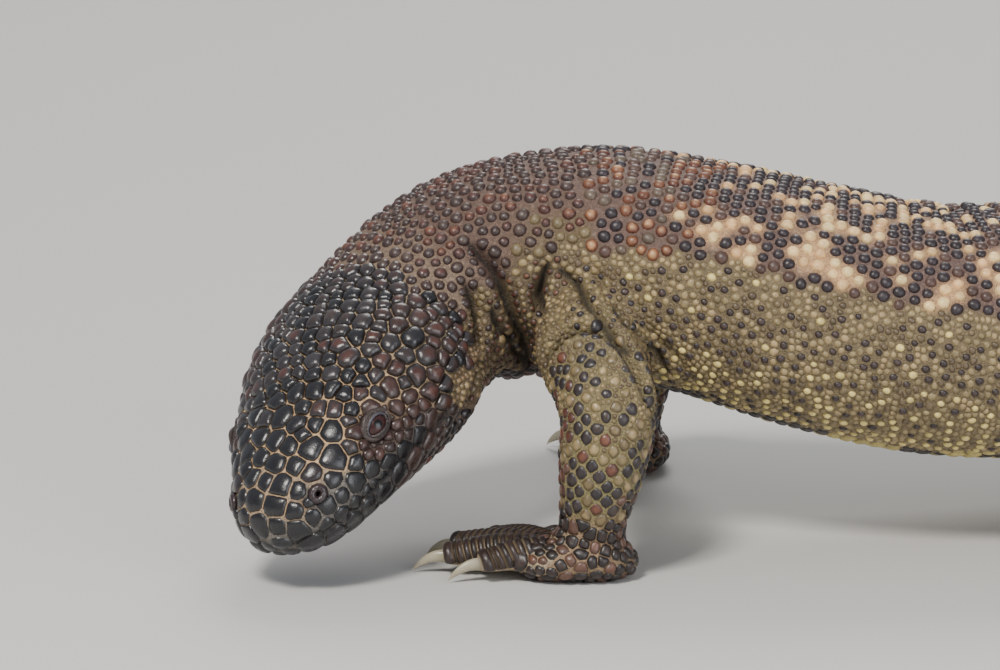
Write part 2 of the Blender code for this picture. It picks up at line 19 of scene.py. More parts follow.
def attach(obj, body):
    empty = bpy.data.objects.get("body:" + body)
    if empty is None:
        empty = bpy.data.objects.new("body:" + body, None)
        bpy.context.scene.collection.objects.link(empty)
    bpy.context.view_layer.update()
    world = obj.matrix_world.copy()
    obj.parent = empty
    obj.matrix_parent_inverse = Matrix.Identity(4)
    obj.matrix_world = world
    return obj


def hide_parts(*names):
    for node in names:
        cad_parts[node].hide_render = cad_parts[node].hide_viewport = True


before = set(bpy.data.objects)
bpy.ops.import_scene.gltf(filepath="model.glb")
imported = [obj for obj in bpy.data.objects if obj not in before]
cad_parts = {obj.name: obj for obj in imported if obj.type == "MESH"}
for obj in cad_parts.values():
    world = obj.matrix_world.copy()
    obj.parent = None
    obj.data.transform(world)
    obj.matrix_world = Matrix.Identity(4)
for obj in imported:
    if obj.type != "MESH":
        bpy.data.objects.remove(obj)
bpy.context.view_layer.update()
RANDOM = np.random.default_rng(7)
MM = 0.001
UP = np.array([0.0, 0.0, 1.0])
TURN = 2 * math.pi
FOOTPRINT_MIDDLE = (219.6, 33.5)

# The head's frame and outline: forward along the head, half width, height above the axis, depth below
HEAD_BACK = np.array([-20.2, -6.0, 47.0])
HEAD_TURN = math.radians(64)
HEAD_DROOP = math.radians(30)
HEAD_ROLL = math.radians(14)
ROLL_DIES_OUT = (40.0, 86.0)
HEAD_LENGTH = 70.4
HEAD_SHAPE = [
    (8, 24.6, 19.4, 18.0), (18, 26.0, 20.0, 17.6), (28, 25.4, 19.6, 16.6), (37, 22.9, 18.2, 15.2),
    (44, 20.6, 16.6, 13.7), (52, 17.9, 14.3, 12.2), (60, 15.0, 11.6, 10.3), (65.5, 11.6, 9.0, 8.2),
    (68.8, 7.5, 5.9, 5.3), (HEAD_LENGTH, 2.8, 2.3, 2.1),
]

# Neck, trunk and tail: x, y, z of the centre, half width, height above it, depth below it
TRUNK_SHAPE = [
    (-3, 3, 57.5, 25.8, 20.6, 27.0), (20, 6, 59.5, 29.5, 22.5, 26.5), (44, 4, 55, 34.0, 24.2, 25.5),
    (66, 2, 49.5, 36.5, 25.2, 26.5), (90, 2, 44.5, 38.0, 25.8, 27.0), (120, 7, 42.5, 40.0, 26.4, 27.0),
    (155, 20, 40.5, 40.0, 26.0, 26.0), (190, 38, 39, 36.5, 25.0, 24.0), (218, 57, 37.5, 30.0, 22.0, 21.5),
    (238, 72, 35, 24.5, 19.5, 19.0), (262, 88, 29.5, 21.0, 18.5, 18.0), (292, 103, 22.5, 19.5, 18.0, 17.5),
    (326, 112, 17.2, 18.5, 17.0, 17.6), (362, 113, 14.2, 16.0, 14.6, 14.8),
    (400, 106, 11.4, 12.8, 11.8, 12.0), (436, 94, 8.5, 9.4, 8.8, 9.0), (468, 83, 5.7, 6.2, 5.8, 6.0),
    (494, 76, 3.6, 3.6, 3.4, 3.8),
]
BODY_ROUNDNESS = 2.25
NECK_START = 68.0
TRUNK_START = 112.0
TAIL_START = 345.0

# Legs, each joint as outward, forward and up from the root
FORE_ROOT = (24.0, 6.0)
HIND_ROOT = (222.0, 60.0)
FORE_FACING = math.radians(180)
HIND_FACING = math.radians(217)
FORE_SIZES = [(13.0, 13.0), (12.0, 12.0), (10.2, 10.6), (9.2, 9.2), (8.0, 7.2)]
HIND_SIZES = [(14.0, 14.0), (12.6, 12.4), (10.4, 10.8), (9.0, 9.0), (8.0, 7.4)]
FORE_LEFT = [(14, 1, 52), (30, 4.5, 46), (50, 1.5, 34), (51.5, 3, 22), (50.5, 4.5, 12.5)]
FORE_RIGHT = [(14, -3, 50), (30, -6, 44), (47, -7.5, 32), (49, -6, 22), (49, -5, 12.5)]
HIND_LEFT = [(10, 4, 36), (26, 8, 35.5), (39, 10, 31.5), (45, 7, 23), (45, 5, 12.5)]
HIND_RIGHT = [(10, -2, 36), (26, -4, 35.5), (39, -7, 31.5), (45, -11, 23), (45, -12.5, 12.5)]

# Feet: the pad as forward from the ankle, up, half width and thickness; toes from the inner one out
PALM = [(-8.0, 3.2, 4.6, 2.8), (-5.5, 3.9, 7.6, 4.3), (0.0, 4.7, 9.4, 5.4), (6.0, 4.4, 10.4, 5.0),
        (11.0, 3.9, 9.8, 4.3), (14.5, 3.6, 7.4, 3.3)]
ANKLE_SUNK = 7.5
TOE_START = 6.0
TOE_TIP_HEIGHT = 3.8
TOE_RADIUS = 3.7
CLAW_LENGTH = 9.0
CLAW_RADIUS = 1.75
CLAW_NARROWNESS = 0.8
TOE_LINE = [
    # share of the toe's length, share of the claw's, rise above the tip, toe's and claw's thickness
    (0.0, 0.0, 0.6, 1.0, 1.0), (0.55, 0.0, 1.2, 0.98, 1.0), (1.0, 0.0, 0.0, 0.72, 1.0),
    (1.0, 0.42, -0.3, 0.5, 0.78), (1.0, 0.75, -1.9, 0.4, 0.45), (1.0, 0.92, -3.3, 0.3, 0.12),
]
CLAW_ROOT_ROW = 2
FORE_TOES = [16.0, 22.0, 25.0, 24.0, 17.0]
HIND_TOES = [15.0, 22.0, 27.0, 28.0, 20.0]
PHOTO_FAN = [-74, -44, -22, 0, 20]
EVEN_FAN = [-58, -28, -5, 17, 46]
CLOSE_FAN = [-36, -19, -3, 13, 30]

# The skin and what is sunk in it
SKIN_DEPTH = 0.75
VOXEL = 1.25
EYE_FORWARD = 45.2
EYE_UP = 7.8
EYE_SUNK = 1.9
EYE_RADIUS = 3.3
NOSTRIL_FORWARD = 63.6
NOSTRIL_UP = 5.8
EAR_FORWARD = 8.0
EAR_UP = 1.0
MOUTH_DROP = 2.6
MOUTH_LOWEST = 0.45
MOUTH_BACK = 31.0

# Hollows as depth and half width, the rim round the eye as height, distance from its middle and half width,
# the ear as half length and half height, and the radii that scales leave bare
EYE_HOLLOW = (2.6, 2.9)
EYE_RIM = (0.35, 6.0, 1.6)
NOSTRIL_HOLLOW = (1.6, 1.3)
EAR_DEPTH = 2.4
EAR_SIZE = (1.5, 4.0)
MOUTH_HOLLOW = (1.1, 0.6)
BARE_EYE = 2.9
BARE_NOSTRIL = 1.5
BARE_EAR = 1.5

FOLD_SHARPNESS = 1.4
FOLD_ROLL = 0.16
FOLD_REACH = 14

# Folds as depth, half width and the places that each runs through: distance from the snout, angle
FOLDS = [
    (1.6, 6.5, [(82, 44), (80, 20), (74, 4), (66, -10), (58, -24)]),
    (5.2, 2.5, [(75, 134), (73, 151), (70, 160), (63, 168), (55, 173), (51, 179), (48, 185), (44, 192),
                (40, 199), (37, 207)]),
    (2.4, 2.0, [(84, 128), (83, 150), (82, 176), (84, 205), (88, 238)]),
    (2.4, 2.0, [(98, 160), (98, 185), (99, 214), (98, 240)]),
    (2.0, 2.6, [(72, 226), (76, 250), (77, 270), (76, 290), (74, 316)]),
    (1.8, 2.4, [(92, 232), (94, 252), (95, 270), (94, 290), (92, 306)]),
    (2.8, 2.2, [(106, 200), (112, 204), (122, 204), (134, 214), (140, 232)]),
    (1.0, 2.0, [(193, 66), (193, 94), (192, 118)]),
    (0.9, 1.8, [(202, 62), (202, 94), (202, 124)]),
    (0.8, 1.8, [(180, 64), (179, 90), (180, 118)]),
    (0.9, 2.0, [(216, 62), (217, 90), (216, 116)]),
]

# Creases behind the left jaw, on the neck and over the foreleg: depth, half width and places on the skin
CREASES = [
    (3.2, 1.1, [(-7.6, -21.2, 56.9), (-6.3, -21.6, 53.6), (-5.5, -22.6, 50.5), (-5.3, -23.8, 47.6),
                (-5.3, -25.1, 44.4), (-5.1, -29.0, 42.1), (-5.5, -31.7, 39.6), (-6.5, -33.4, 36.9),
                (-8.2, -35.3, 34.3), (-10.5, -37.1, 31.9)]),
    (3.0, 0.95, [(-6.4, -17.9, 65.6), (-4.4, -18.0, 63.2), (-1.9, -19.0, 60.8), (-0.2, -19.4, 57.7),
                 (1.1, -19.0, 54.1), (2.1, -18.1, 50.9), (3.4, -16.6, 47.9), (4.7, -15.8, 45.7),
                 (5.3, -13.7, 42.6), (6.2, -9.4, 39.0)]),
    (1.7, 0.8, [(-2.4, -21.4, 52.6), (-1.1, -21.1, 49.8), (0.0, -20.1, 47.6), (1.7, -18.6, 45.8),
                (2.6, -16.9, 43.0), (4.3, -13.4, 40.8), (5.6, -8.3, 37.5)]),
    (3.0, 0.95, [(10.2, -20.1, 62.6), (9.1, -18.8, 59.0), (8.3, -18.9, 55.8), (8.7, -20.3, 52.7),
                 (8.9, -23.8, 51.2), (9.1, -26.5, 49.2), (9.5, -30.2, 47.4), (9.4, -32.0, 44.3),
                 (9.2, -33.0, 41.0)]),
    (3.8, 1.25, [(9.8, -34.2, 42.5), (10.1, -35.2, 45.0), (11.5, -35.9, 47.8), (13.8, -36.2, 50.2),
                 (17.4, -36.6, 51.8), (20.5, -37.8, 51.6), (23.8, -40.4, 49.8), (26.1, -42.3, 47.9),
                 (28.0, -44.4, 45.3), (29.4, -46.2, 42.5), (30.4, -47.1, 39.9), (31.4, -46.0, 36.0)]),
    (1.8, 0.85, [(12.7, -21.0, 61.0), (16.3, -22.9, 58.4), (17.9, -28.4, 56.1), (19.3, -31.6, 54.6),
                 (21.6, -35.8, 52.9), (24.5, -39.3, 50.9), (27.4, -41.2, 48.3)]),
    (1.3, 0.85, [(23.4, -29.4, 55.0), (26.7, -33.2, 51.3), (30.3, -29.3, 47.2), (33.4, -24.2, 42.7),
                 (35.6, -21.1, 39.0)]),
    (1.0, 1.0, [(16.5, -21.7, 62.9), (20.7, -24.0, 59.5), (23.8, -27.7, 55.9), (27.8, -29.0, 52.3),
                (32.1, -25.8, 48.2), (36.4, -25.1, 44.2), (40.2, -23.7, 39.5)]),
]

# The roll beside a crease: share of its depth, distance and half width
CREASE_ROLL = (0.24, 3.0, 1.4)
CREASE_ROLL_LIMIT = 3.0
CREASE_REACH = 8

# Creases deeper than MAIN_CREASE stay bare: scales keep a distance of BARE_CREASE, at the least and for their
# size, and holes in the coat are filled from FILL_CREASE outward
MAIN_CREASE = 1.2
BARE_CREASE = (0.25, 0.4)
FILL_CREASE = 1.0

# Where the skin's mesh is finer: in a ball round the head, from a place along it on, and by the creases
FINE_START = 2.0
FINE_MIDDLE = 36
FINE_RADIUS = 44
FINE_BY_CREASE = 5.0

# The left side's main plates: distance from the snout, angle, half length along the head, half width.
# Those below FIRST_MIDLINE_ANGLE also lie mirrored on the right side.
FIRST_MIDLINE_ANGLE = 74
FACE_PLATES = [
    (5.2, 54, 3.0, 3.3), (6.2, 76, 2.3, 3.0), (8.7, 107, 2.2, 2.2), (4.2, 105, 2.5, 2.6),
    (2.7, 76, 2.7, 2.5), (9.2, 133, 2.6, 2.2), (2.4, 43, 1.6, 2.6), (9.9, 51, 1.9, 2.7),
    (10.7, 68, 1.9, 2.1), (10.9, 87, 2.1, 2.2), (12.9, 101, 2.0, 2.1), (15.2, 62, 2.8, 2.8),
    (15.2, 80, 2.1, 2.0), (16.6, 91, 2.4, 1.9), (18.2, 106, 2.4, 2.4), (14.9, 40, 3.5, 2.6),
    (19.9, 53, 2.9, 2.4), (20.2, 67, 1.9, 1.8), (20.0, 80, 2.1, 2.1), (22.2, 92, 2.3, 2.7),
    (23.9, 114, 2.4, 2.3), (23.8, 69, 1.8, 1.8), (24.0, 80, 1.7, 1.8), (24.4, 58, 1.9, 2.1),
    (25.3, 47, 2.3, 2.0), (29.9, 44, 2.1, 2.4), (28.3, 57, 1.8, 1.8), (34.3, 42, 2.1, 2.1),
    (39.3, 25, 2.3, 2.3), (40.3, 36, 2.5, 2.3), (45.2, 27, 2.6, 2.6), (46.7, 40, 2.3, 2.4),
    (43.3, 50, 2.0, 2.0), (40.2, 57, 1.8, 1.8), (38.2, 48, 1.9, 1.8), (35.7, 56, 1.8, 1.8),
    (32.2, 52, 1.7, 1.7), (52.7, 45, 2.1, 2.1), (48.3, 53, 2.0, 1.9), (51.7, 33, 2.1, 2.1),
    (57.7, 40, 2.0, 2.0), (50.7, 21, 2.0, 1.9), (42.7, 16, 1.9, 1.8), (47.7, 11, 1.8, 1.7),
    (38.7, 11, 2.0, 2.0),
]
BROW_PLATES = [
    (21.6, 36.5, 3.1, 1.5), (27.7, 35.5, 3.3, 1.6), (33.9, 34, 3.1, 1.8), (30.9, 22, 1.8, 1.7),
    (34.9, 20, 1.8, 1.6),
]
LIP_PLATES = [
    (0.7, 62, 2.6, 2.6), (0.7, 118, 2.6, 2.6), (2.6, 37, 2.8, 1.6), (1.2, 12, 2.5, 2.6),
    (4.2, 2, 2.2, 2.2), (6.4, 14, 2.5, 2.0), (8.0, -7, 2.2, 2.1), (10.6, 9, 2.0, 2.1),
    (13.7, 7, 2.6, 2.5), (18.2, 5, 2.2, 2.0), (22.2, 0, 2.5, 1.9), (27.0, -2, 2.3, 1.8),
    (31.5, -3, 2.3, 1.9), (35.6, -2, 2.2, 2.0), (2.2, -39, 2.3, 2.6), (6.2, -34, 2.3, 2.6),
    (10.2, -27, 2.2, 2.5), (14.4, -24, 2.4, 2.5), (19.0, -23, 2.4, 2.6), (23.6, -19, 2.4, 2.5),
    (28.5, -19, 2.5, 2.4), (33.3, -17, 2.3, 2.2), (8.0, -58, 2.3, 2.5), (12.6, -51, 2.3, 2.5),
    (17.2, -48, 2.3, 2.4), (21.8, -43, 2.3, 2.5), (26.5, -40, 2.4, 2.5), (31.2, -37, 2.2, 2.2),
]
LUMPS = [
    (19.5, 16, 1.5, 1.2), (20.3, 25, 1.3, 1.0), (22.4, 15, 1.5, 1.1), (25.4, 14, 1.5, 1.2),
    (28.3, 13.5, 1.4, 1.2), (31.0, 15.5, 1.3, 1.2), (21.2, 9, 1.6, 1.2), (24.2, 8, 1.6, 1.3),
    (27.3, 7, 1.5, 1.3), (30.4, 8.5, 1.5, 1.3), (33.2, 10, 1.6, 1.4), (36.0, 8, 1.6, 1.5),
    (29.0, 1, 1.7, 1.4), (32.2, 2, 1.7, 1.5), (35.4, 1, 1.8, 1.5),
]

# Eyes: openings as half lengths, and the angles from the pupil's middle where the pupil and the iris end
LID_OPENING = (2.75, 1.6)
LID_OUTLINE = (4.1, 2.75, 3.1)
LID_PROFILE = [
    # share of the way from the opening to the rim, height over the edge or over the outline, wrinkles
    (0.0, -0.5, None, 0.0), (0.0, 0.0, None, 0.0), (0.05, 0.16, None, 0.01), (0.16, 0.20, None, 0.02),
    (0.28, 0.02, None, 0.03), (0.38, None, 0.20, 0.03), (0.50, None, 0.34, 0.04), (0.62, None, 0.16, 0.04),
    (0.74, None, 0.22, 0.05), (0.87, None, -0.20, 0.04), (1.0, None, -1.0, 0.0),
]
PUPIL_EDGE = 0.29
IRIS_EDGE = 0.92

# The nostril's rim from the inside out: distance from its middle, height over the head
NOSTRIL_PROFILE = [(0.55, -1.7), (0.65, -0.9), (0.8, -0.35), (1.05, -0.10), (1.4, -0.2), (1.8, -0.9)]

# A toe's bands from back to front: share of a band's length, height over the toe
BAND_LENGTH = 1.55
BAND_PROFILE = [(0.02, -0.75), (0.07, -0.18), (0.20, 0.24), (0.5, 0.36), (0.80, 0.20), (0.93, -0.2),
                (0.98, -0.8)]
LAST_BAND_PROFILE = [(0.01, -0.75), (0.05, -0.1), (0.18, 0.38), (0.5, 0.62), (0.80, 0.5), (0.94, 0.1),
                     (0.99, -0.8)]

# The coat's pieces along the back and the tail, as distances from the snout
BACK_STRETCHES = (("front", TRUNK_START, 170), ("mid", 170, 228), ("rear", 228, 286),
                  ("hips", 286, TAIL_START))
TAIL_STRETCHES = (("base", TAIL_START, 425), ("mid", 425, 520), ("tip", 520, 700))

# How far back the lips' plates keep apart, how deep scales are sunk in the skin, where a pale band's middle
# lies on the tail and how far apart the bands are, and where the leg's colours change, as a share of it
LIPS_END = 36
SCALE_SUNK = 0.15
TAIL_BAND = 372
TAIL_BAND_PITCH = 47.0
ELBOW_COLOUR = 0.4

# Camera and lights
CAMERA_RISE = math.radians(12)
CAMERA_DISTANCE = 1500.0
CAMERA_TARGET = np.array([0.0, 0.0, 42.5])
MM_A_PIXEL = 0.215
PICTURE_WIDTH = 1000
LIT_PLACE = (40, 0, 30)
SKY_COLOUR = (0.86, 0.92, 1.0, 1)
SKY_STRENGTH = 0.42
LAMPS = [
    # name, place from the lit place in metres, size, power, colour
    ("key", (-0.45, -0.82, 1.05), 0.30, 19.5, (1.0, 0.96, 0.89)),
    ("fill", (0.75, -1.0, 0.38), 0.8, 7.5, (0.95, 0.97, 1.0)),
    ("rim", (0.1, 1.0, 0.9), 0.6, 8.0, (1.0, 0.97, 0.93)),
]


def srgb(red, green, blue):
    """A colour as seen, 0 to 255, in the linear values that materials take."""
    seen = np.array([red, green, blue]) / 255
    return np.where(seen < 0.04045, seen / 12.92, ((seen + 0.055) / 1.055) ** 2.4)


BLACK = srgb(27, 26, 30)
SLATE = srgb(44, 41, 44)
HEAD_BROWN = srgb(56, 41, 38)
RED_BROWN = srgb(88, 49, 40)
NECK_BEAD = srgb(60, 45, 43)
NECK_GREY = srgb(92, 78, 66)
NECK_ORANGE = srgb(118, 74, 52)
BACK_BEAD = srgb(47, 38, 42)
BACK_BROWN = srgb(84, 62, 54)
CREAM = srgb(232, 202, 142)
PEACH = srgb(220, 174, 120)
YELLOW = srgb(214, 194, 118)
OLIVE = srgb(136, 120, 84)
PALE_OLIVE = srgb(166, 150, 108)
LEG_OLIVE = srgb(112, 98, 64)
LEG_BROWN = srgb(92, 74, 54)
DARK_OVAL = srgb(42, 35, 38)
FOOT_DARK = srgb(36, 30, 30)
FOOT_BROWN = srgb(84, 60, 50)
TAN_GROOVE = srgb(170, 142, 110)
SKIN_TAN = srgb(160, 137, 98)
SKIN_UMBER = srgb(76, 62, 46)
GREY_GROOVE = srgb(138, 122, 100)
LIP_GROOVE = srgb(104, 98, 92)
NECK_SKIN = srgb(90, 71, 62)
SHOULDER_SKIN = srgb(94, 80, 58)
BACK_SKIN = srgb(94, 75, 68)
FLANK_SKIN = srgb(98, 85, 62)
LEG_SKIN = srgb(112, 103, 70)
FOOT_SKIN = srgb(128, 106, 82)
BAND_EDGE = srgb(178, 160, 132)
LID = srgb(56, 45, 42)
UPPER_LID_RIM = srgb(40, 32, 34)
# The lower lid's rim is pale blue-grey: a painted reflection of the sky.
LOWER_LID_RIM_SHEEN = srgb(92, 94, 106)
PUPIL = srgb(6, 6, 8)
IRIS = srgb(58, 28, 26)
IRIS_RIM = srgb(20, 15, 16)
EYE_WHITE = srgb(40, 28, 28)
NOSTRIL_RIM = srgb(46, 34, 36)
# Painted shade: the nostril's inside is near black because its hollow lies in shade.
NOSTRIL_INSIDE_SHADE = srgb(16, 9, 10)
CLAW_ROOT = srgb(104, 94, 80)
CLAW_PALE = srgb(168, 160, 138)
CLAW_TIP = srgb(150, 142, 122)


def unit(v):
    return v / np.maximum(np.linalg.norm(v, axis=-1, keepdims=True), 1e-12)


def curved(x, roundness):
    """A superellipse's coordinate from a circle's."""
    return np.sign(x) * np.abs(x) ** (2 / roundness)


class Loft:
    """A tube round a smooth line. Rows are x, y, z, half width, height above, depth below."""

    def __init__(self, rows, reference=UP, roundness=2.0, roll=None):
        self.rows = np.array(rows, float)
        self.reference = np.array(reference, float)
        self.roundness = roundness
        self.roll = roll
        steps = np.linalg.norm(np.diff(self.rows[:, :3], axis=0), axis=1)
        self.knots = np.concatenate([[0.0], np.cumsum(steps)])
        self.length = self.knots[-1]

    def at(self, s):
        """The rows' values at distances s, on a cubic through them."""
        knots, rows = self.knots, self.rows
        step = np.diff(knots)[:, None]
        rise = np.diff(rows, axis=0) / step
        slope = np.vstack([rise[:1], rise, rise[-1:]])
        slope = (slope[:-1] + slope[1:]) / 2
        slope[1:-1] = (rise[:-1] * step[1:] + rise[1:] * step[:-1]) / (step[1:] + step[:-1])
        i = np.clip(np.searchsorted(knots, s, side="right") - 1, 0, len(knots) - 2)
        h = step[i]
        u = (s - knots[i])[:, None] / h
        return ((2 * u**3 - 3 * u**2 + 1) * rows[i] + (u**3 - 2 * u**2 + u) * h * slope[i]
                + (3 * u**2 - 2 * u**3) * rows[i + 1] + (u**3 - u**2) * h * slope[i + 1])

    def frame(self, s):
        """Rows, direction, side and up vectors at distances s."""
        nudge = 0.5
        along = self.at(np.minimum(s + nudge, self.length)) - self.at(np.maximum(s - nudge, 0))
        along = unit(along[:, :3])
        side = unit(np.cross(along, self.reference))
        up = np.cross(side, along)
        if self.roll:
            side, up = rolled(side, up, self.roll(s)[:, None])
        return self.at(s), along, side, up

    def surface(self, s, angle, skin=0.0):
        """Points of the skin at distances s and angles from the side, grown outward by skin."""
        shape = np.broadcast(s, angle).shape
        s = np.broadcast_to(s, shape).ravel().astype(float)
        angle = np.broadcast_to(angle, shape).ravel()
        rows, _, side, up = self.frame(s)
        across = curved(np.cos(angle), self.roundness) * (rows[:, 3] + skin)
        rise = curved(np.sin(angle), self.roundness)
        rise = rise * (np.where(rise > 0, rows[:, 4], rows[:, 5]) + skin)
        points = rows[:, :3] + side * across[:, None] + up * rise[:, None]
        return points.reshape(*shape, 3)


def rolled(side, up, turn):
    """A section's two axes, turned so that its left side rises."""
    return side * np.cos(turn) + up * np.sin(turn), up * np.cos(turn) - side * np.sin(turn)


def head_roll(s):
    """How far the head's sections are rolled at distances s from the snout."""
    start, end = ROLL_DIES_OUT
    left_over = np.clip((end - s) / (end - start), 0, 1)
    return HEAD_ROLL * left_over**2 * (3 - 2 * left_over)


def head_frame():
    """Unit vectors forward along the head, to its left and up through its crown."""
    level = np.array([-math.cos(HEAD_TURN), -math.sin(HEAD_TURN), 0.0])
    forward = level * math.cos(HEAD_DROOP) - UP * math.sin(HEAD_DROOP)
    left = unit(np.cross(UP, forward))
    return forward, *rolled(left, np.cross(forward, left), HEAD_ROLL)


def in_head(forward, left, up):
    """A point of the head's frame in the tables' frame."""
    f, l, u = head_frame()
    return HEAD_BACK + f * forward + l * left + u * up


def body_loft():
    """The one loft from snout to tail tip."""
    forward, _, _ = head_frame()
    head = [(*(HEAD_BACK + forward * x), wide, high, deep) for x, wide, high, deep in HEAD_SHAPE]
    return Loft(head[::-1] + TRUNK_SHAPE, roundness=BODY_ROUNDNESS, roll=head_roll)


def turned(angle):
    return np.array([math.cos(angle), math.sin(angle), 0.0])


class Foot:
    """A foot's palm, ankle and toes, from the end of its leg."""

    def __init__(self, leg, forward, out, heading, fan, toes):
        self.ahead = forward * math.cos(heading) + out * math.sin(heading)
        across = out * math.cos(heading) - forward * math.sin(heading)
        end, down, _, _ = leg.frame(np.array([leg.length]))
        ankle = end[0, :3]
        base = np.array([*ankle[:2], 0.0])
        self.palm = Loft([(*(base + UP * up + self.ahead * x), wide, thick, thick)
                          for x, up, wide, thick in PALM])
        self.ankle = Loft([(*ankle, *end[0, 3:]), (*(ankle + down[0] * ANKLE_SUNK), *end[0, 3:])],
                          reference=forward)
        self.toes = []
        self.claws = []
        for spread, length in zip(np.radians(fan), toes):
            along = self.ahead * math.cos(spread) + across * math.sin(spread)
            start = base + self.ahead * TOE_START
            toe_rows = []
            claw_rows = []
            for toe_share, claw_share, rise, thick, claw_thick in TOE_LINE:
                point = (start + along * (length * toe_share + CLAW_LENGTH * claw_share)
                         + UP * (TOE_TIP_HEIGHT + rise))
                thick *= TOE_RADIUS
                claw_thick *= CLAW_RADIUS
                toe_rows.append((*point, thick, thick, thick))
                claw_rows.append((*point, claw_thick * CLAW_NARROWNESS, claw_thick, claw_thick))
            self.toes.append(Loft(toe_rows))
            self.claws.append(Loft(claw_rows))


class Leg:
    """A leg from its root in the body to the ankle, with its foot."""

    def __init__(self, name, root, facing, side, joints, sizes, heading, fan, toes):
        self.name = name
        self.forward = turned(facing)
        self.out = turned(facing + side * math.pi / 2)
        rows = []
        for (outward, ahead, up), (wide, thick) in zip(joints, sizes):
            at = np.array([*root, up]) + self.out * outward + self.forward * ahead
            rows.append((*at, wide, thick, thick))
        self.loft = Loft(rows, reference=self.forward)
        self.foot = Foot(self.loft, self.forward, self.out, math.radians(heading), fan, toes)


BODY = body_loft()
LEGS = [
    Leg("foreleg_left", FORE_ROOT, FORE_FACING, 1, FORE_LEFT, FORE_SIZES, -6, PHOTO_FAN, FORE_TOES),
    Leg("foreleg_right", FORE_ROOT, FORE_FACING, -1, FORE_RIGHT, FORE_SIZES, 80, CLOSE_FAN, FORE_TOES),
    Leg("hindleg_left", HIND_ROOT, HIND_FACING, 1, HIND_LEFT, HIND_SIZES, 28, EVEN_FAN, HIND_TOES),
    Leg("hindleg_right", HIND_ROOT, HIND_FACING, -1, HIND_RIGHT, HIND_SIZES, 28, EVEN_FAN, HIND_TOES),
]


def to_scene(points):
    """The tables' millimetres in the scene's metres."""
    return (np.asarray(points, float) - np.array([*FOOTPRINT_MIDDLE, 0.0])) * MM


def on_head(forward, up, side):
    """The body loft's point and outward direction at a place on the side of the head."""
    s = HEAD_LENGTH - forward
    rows, _, _, _ = BODY.frame(np.array([s]))
    rise = up / rows[0, 4 if up > 0 else 5]
    angle = math.copysign(math.asin(abs(rise) ** (BODY_ROUNDNESS / 2)), rise)
    if side < 0:
        angle = math.pi - angle
    step = 0.02
    around = BODY.surface(np.array([s, s, s - 1, s + 1]),
                          np.array([angle - step, angle + step, angle, angle]))
    point = BODY.surface(s, angle)
    normal = unit(np.cross(around[1] - around[0], around[3] - around[2]))
    return point, normal if normal @ (point - rows[0, :3]) > 0 else -normal


def mouth_angle(s):
    """How far below the side the mouth line runs, as an angle round the body."""
    level = np.minimum(MOUTH_DROP / BODY.at(np.atleast_1d(s).astype(float))[:, 5], MOUTH_LOWEST)
    return np.arcsin(level ** (BODY_ROUNDNESS / 2))


def new_mesh(name, points, faces):
    """An object from points in the tables' frame and faces of three or four corners."""
    mesh = bpy.data.meshes.new(name)
    sizes = np.full(len(faces), faces.shape[1])
    if faces.shape[1] == 4:
        sizes = np.where(faces[:, 3] < 0, 3, 4)
    loops = faces[faces >= 0]
    mesh.vertices.add(len(points))
    mesh.vertices.foreach_set("co", to_scene(points).astype(np.float32).ravel())
    mesh.loops.add(len(loops))
    mesh.loops.foreach_set("vertex_index", loops.astype(np.int32))
    mesh.polygons.add(len(faces))
    starts = np.concatenate([[0], np.cumsum(sizes)[:-1]])
    mesh.polygons.foreach_set("loop_start", starts.astype(np.int32))
    mesh.update(calc_edges=True)
    mesh.validate()
    mesh.shade_smooth()
    obj = bpy.data.objects.new(name, mesh)
    bpy.context.scene.collection.objects.link(obj)
    return obj


def grid_faces(rows, columns):
    """Quads of a grid that closes on itself across its columns."""
    i, j = np.meshgrid(np.arange(rows - 1), np.arange(columns), indexing="ij")
    a = i * columns + j
    b = i * columns + (j + 1) % columns
    return np.stack([a, b, b + columns, a + columns], -1).reshape(-1, 4)


def closed_rings(rings):
    """Points and faces of rings whose two ends close in a fan."""
    count, around = rings.shape[:2]
    faces = grid_faces(count, around)
    first, last = count * around, count * around + 1
    j = np.arange(around)
    none = np.full(around, -1)
    low = np.stack([np.full(around, first), (j + 1) % around, j, none], -1)
    base = (count - 1) * around
    high = np.stack([np.full(around, last), base + j, base + (j + 1) % around, none], -1)
    points = np.vstack([rings.reshape(-1, 3), rings[0].mean(0), rings[-1].mean(0)])
    return points, np.vstack([faces, low, high])


def rounded_tube(loft, start, end, around, step, skin, round_start=0.0, round_end=0.0):
    """Rings along a loft, with ends rounded off over the given lengths."""
    s = np.linspace(start, end, max(3, int((end - start) / step)))
    angle = np.arange(around) * TURN / around
    rings = loft.surface(s[:, None], angle[None], skin)
    rows, along, _, _ = loft.frame(np.array([start, end]))
    bends = np.radians([20, 40, 60, 78])
    if round_end:
        caps = [rows[1, :3] + (rings[-1] - rows[1, :3]) * math.cos(b) + along[1] * round_end * math.sin(b)
                for b in bends]
        rings = np.concatenate([rings, caps])
    if round_start:
        caps = [rows[0, :3] + (rings[0] - rows[0, :3]) * math.cos(b) - along[0] * round_start * math.sin(b)
                for b in bends[::-1]]
        rings = np.concatenate([caps, rings])
    return closed_rings(rings)


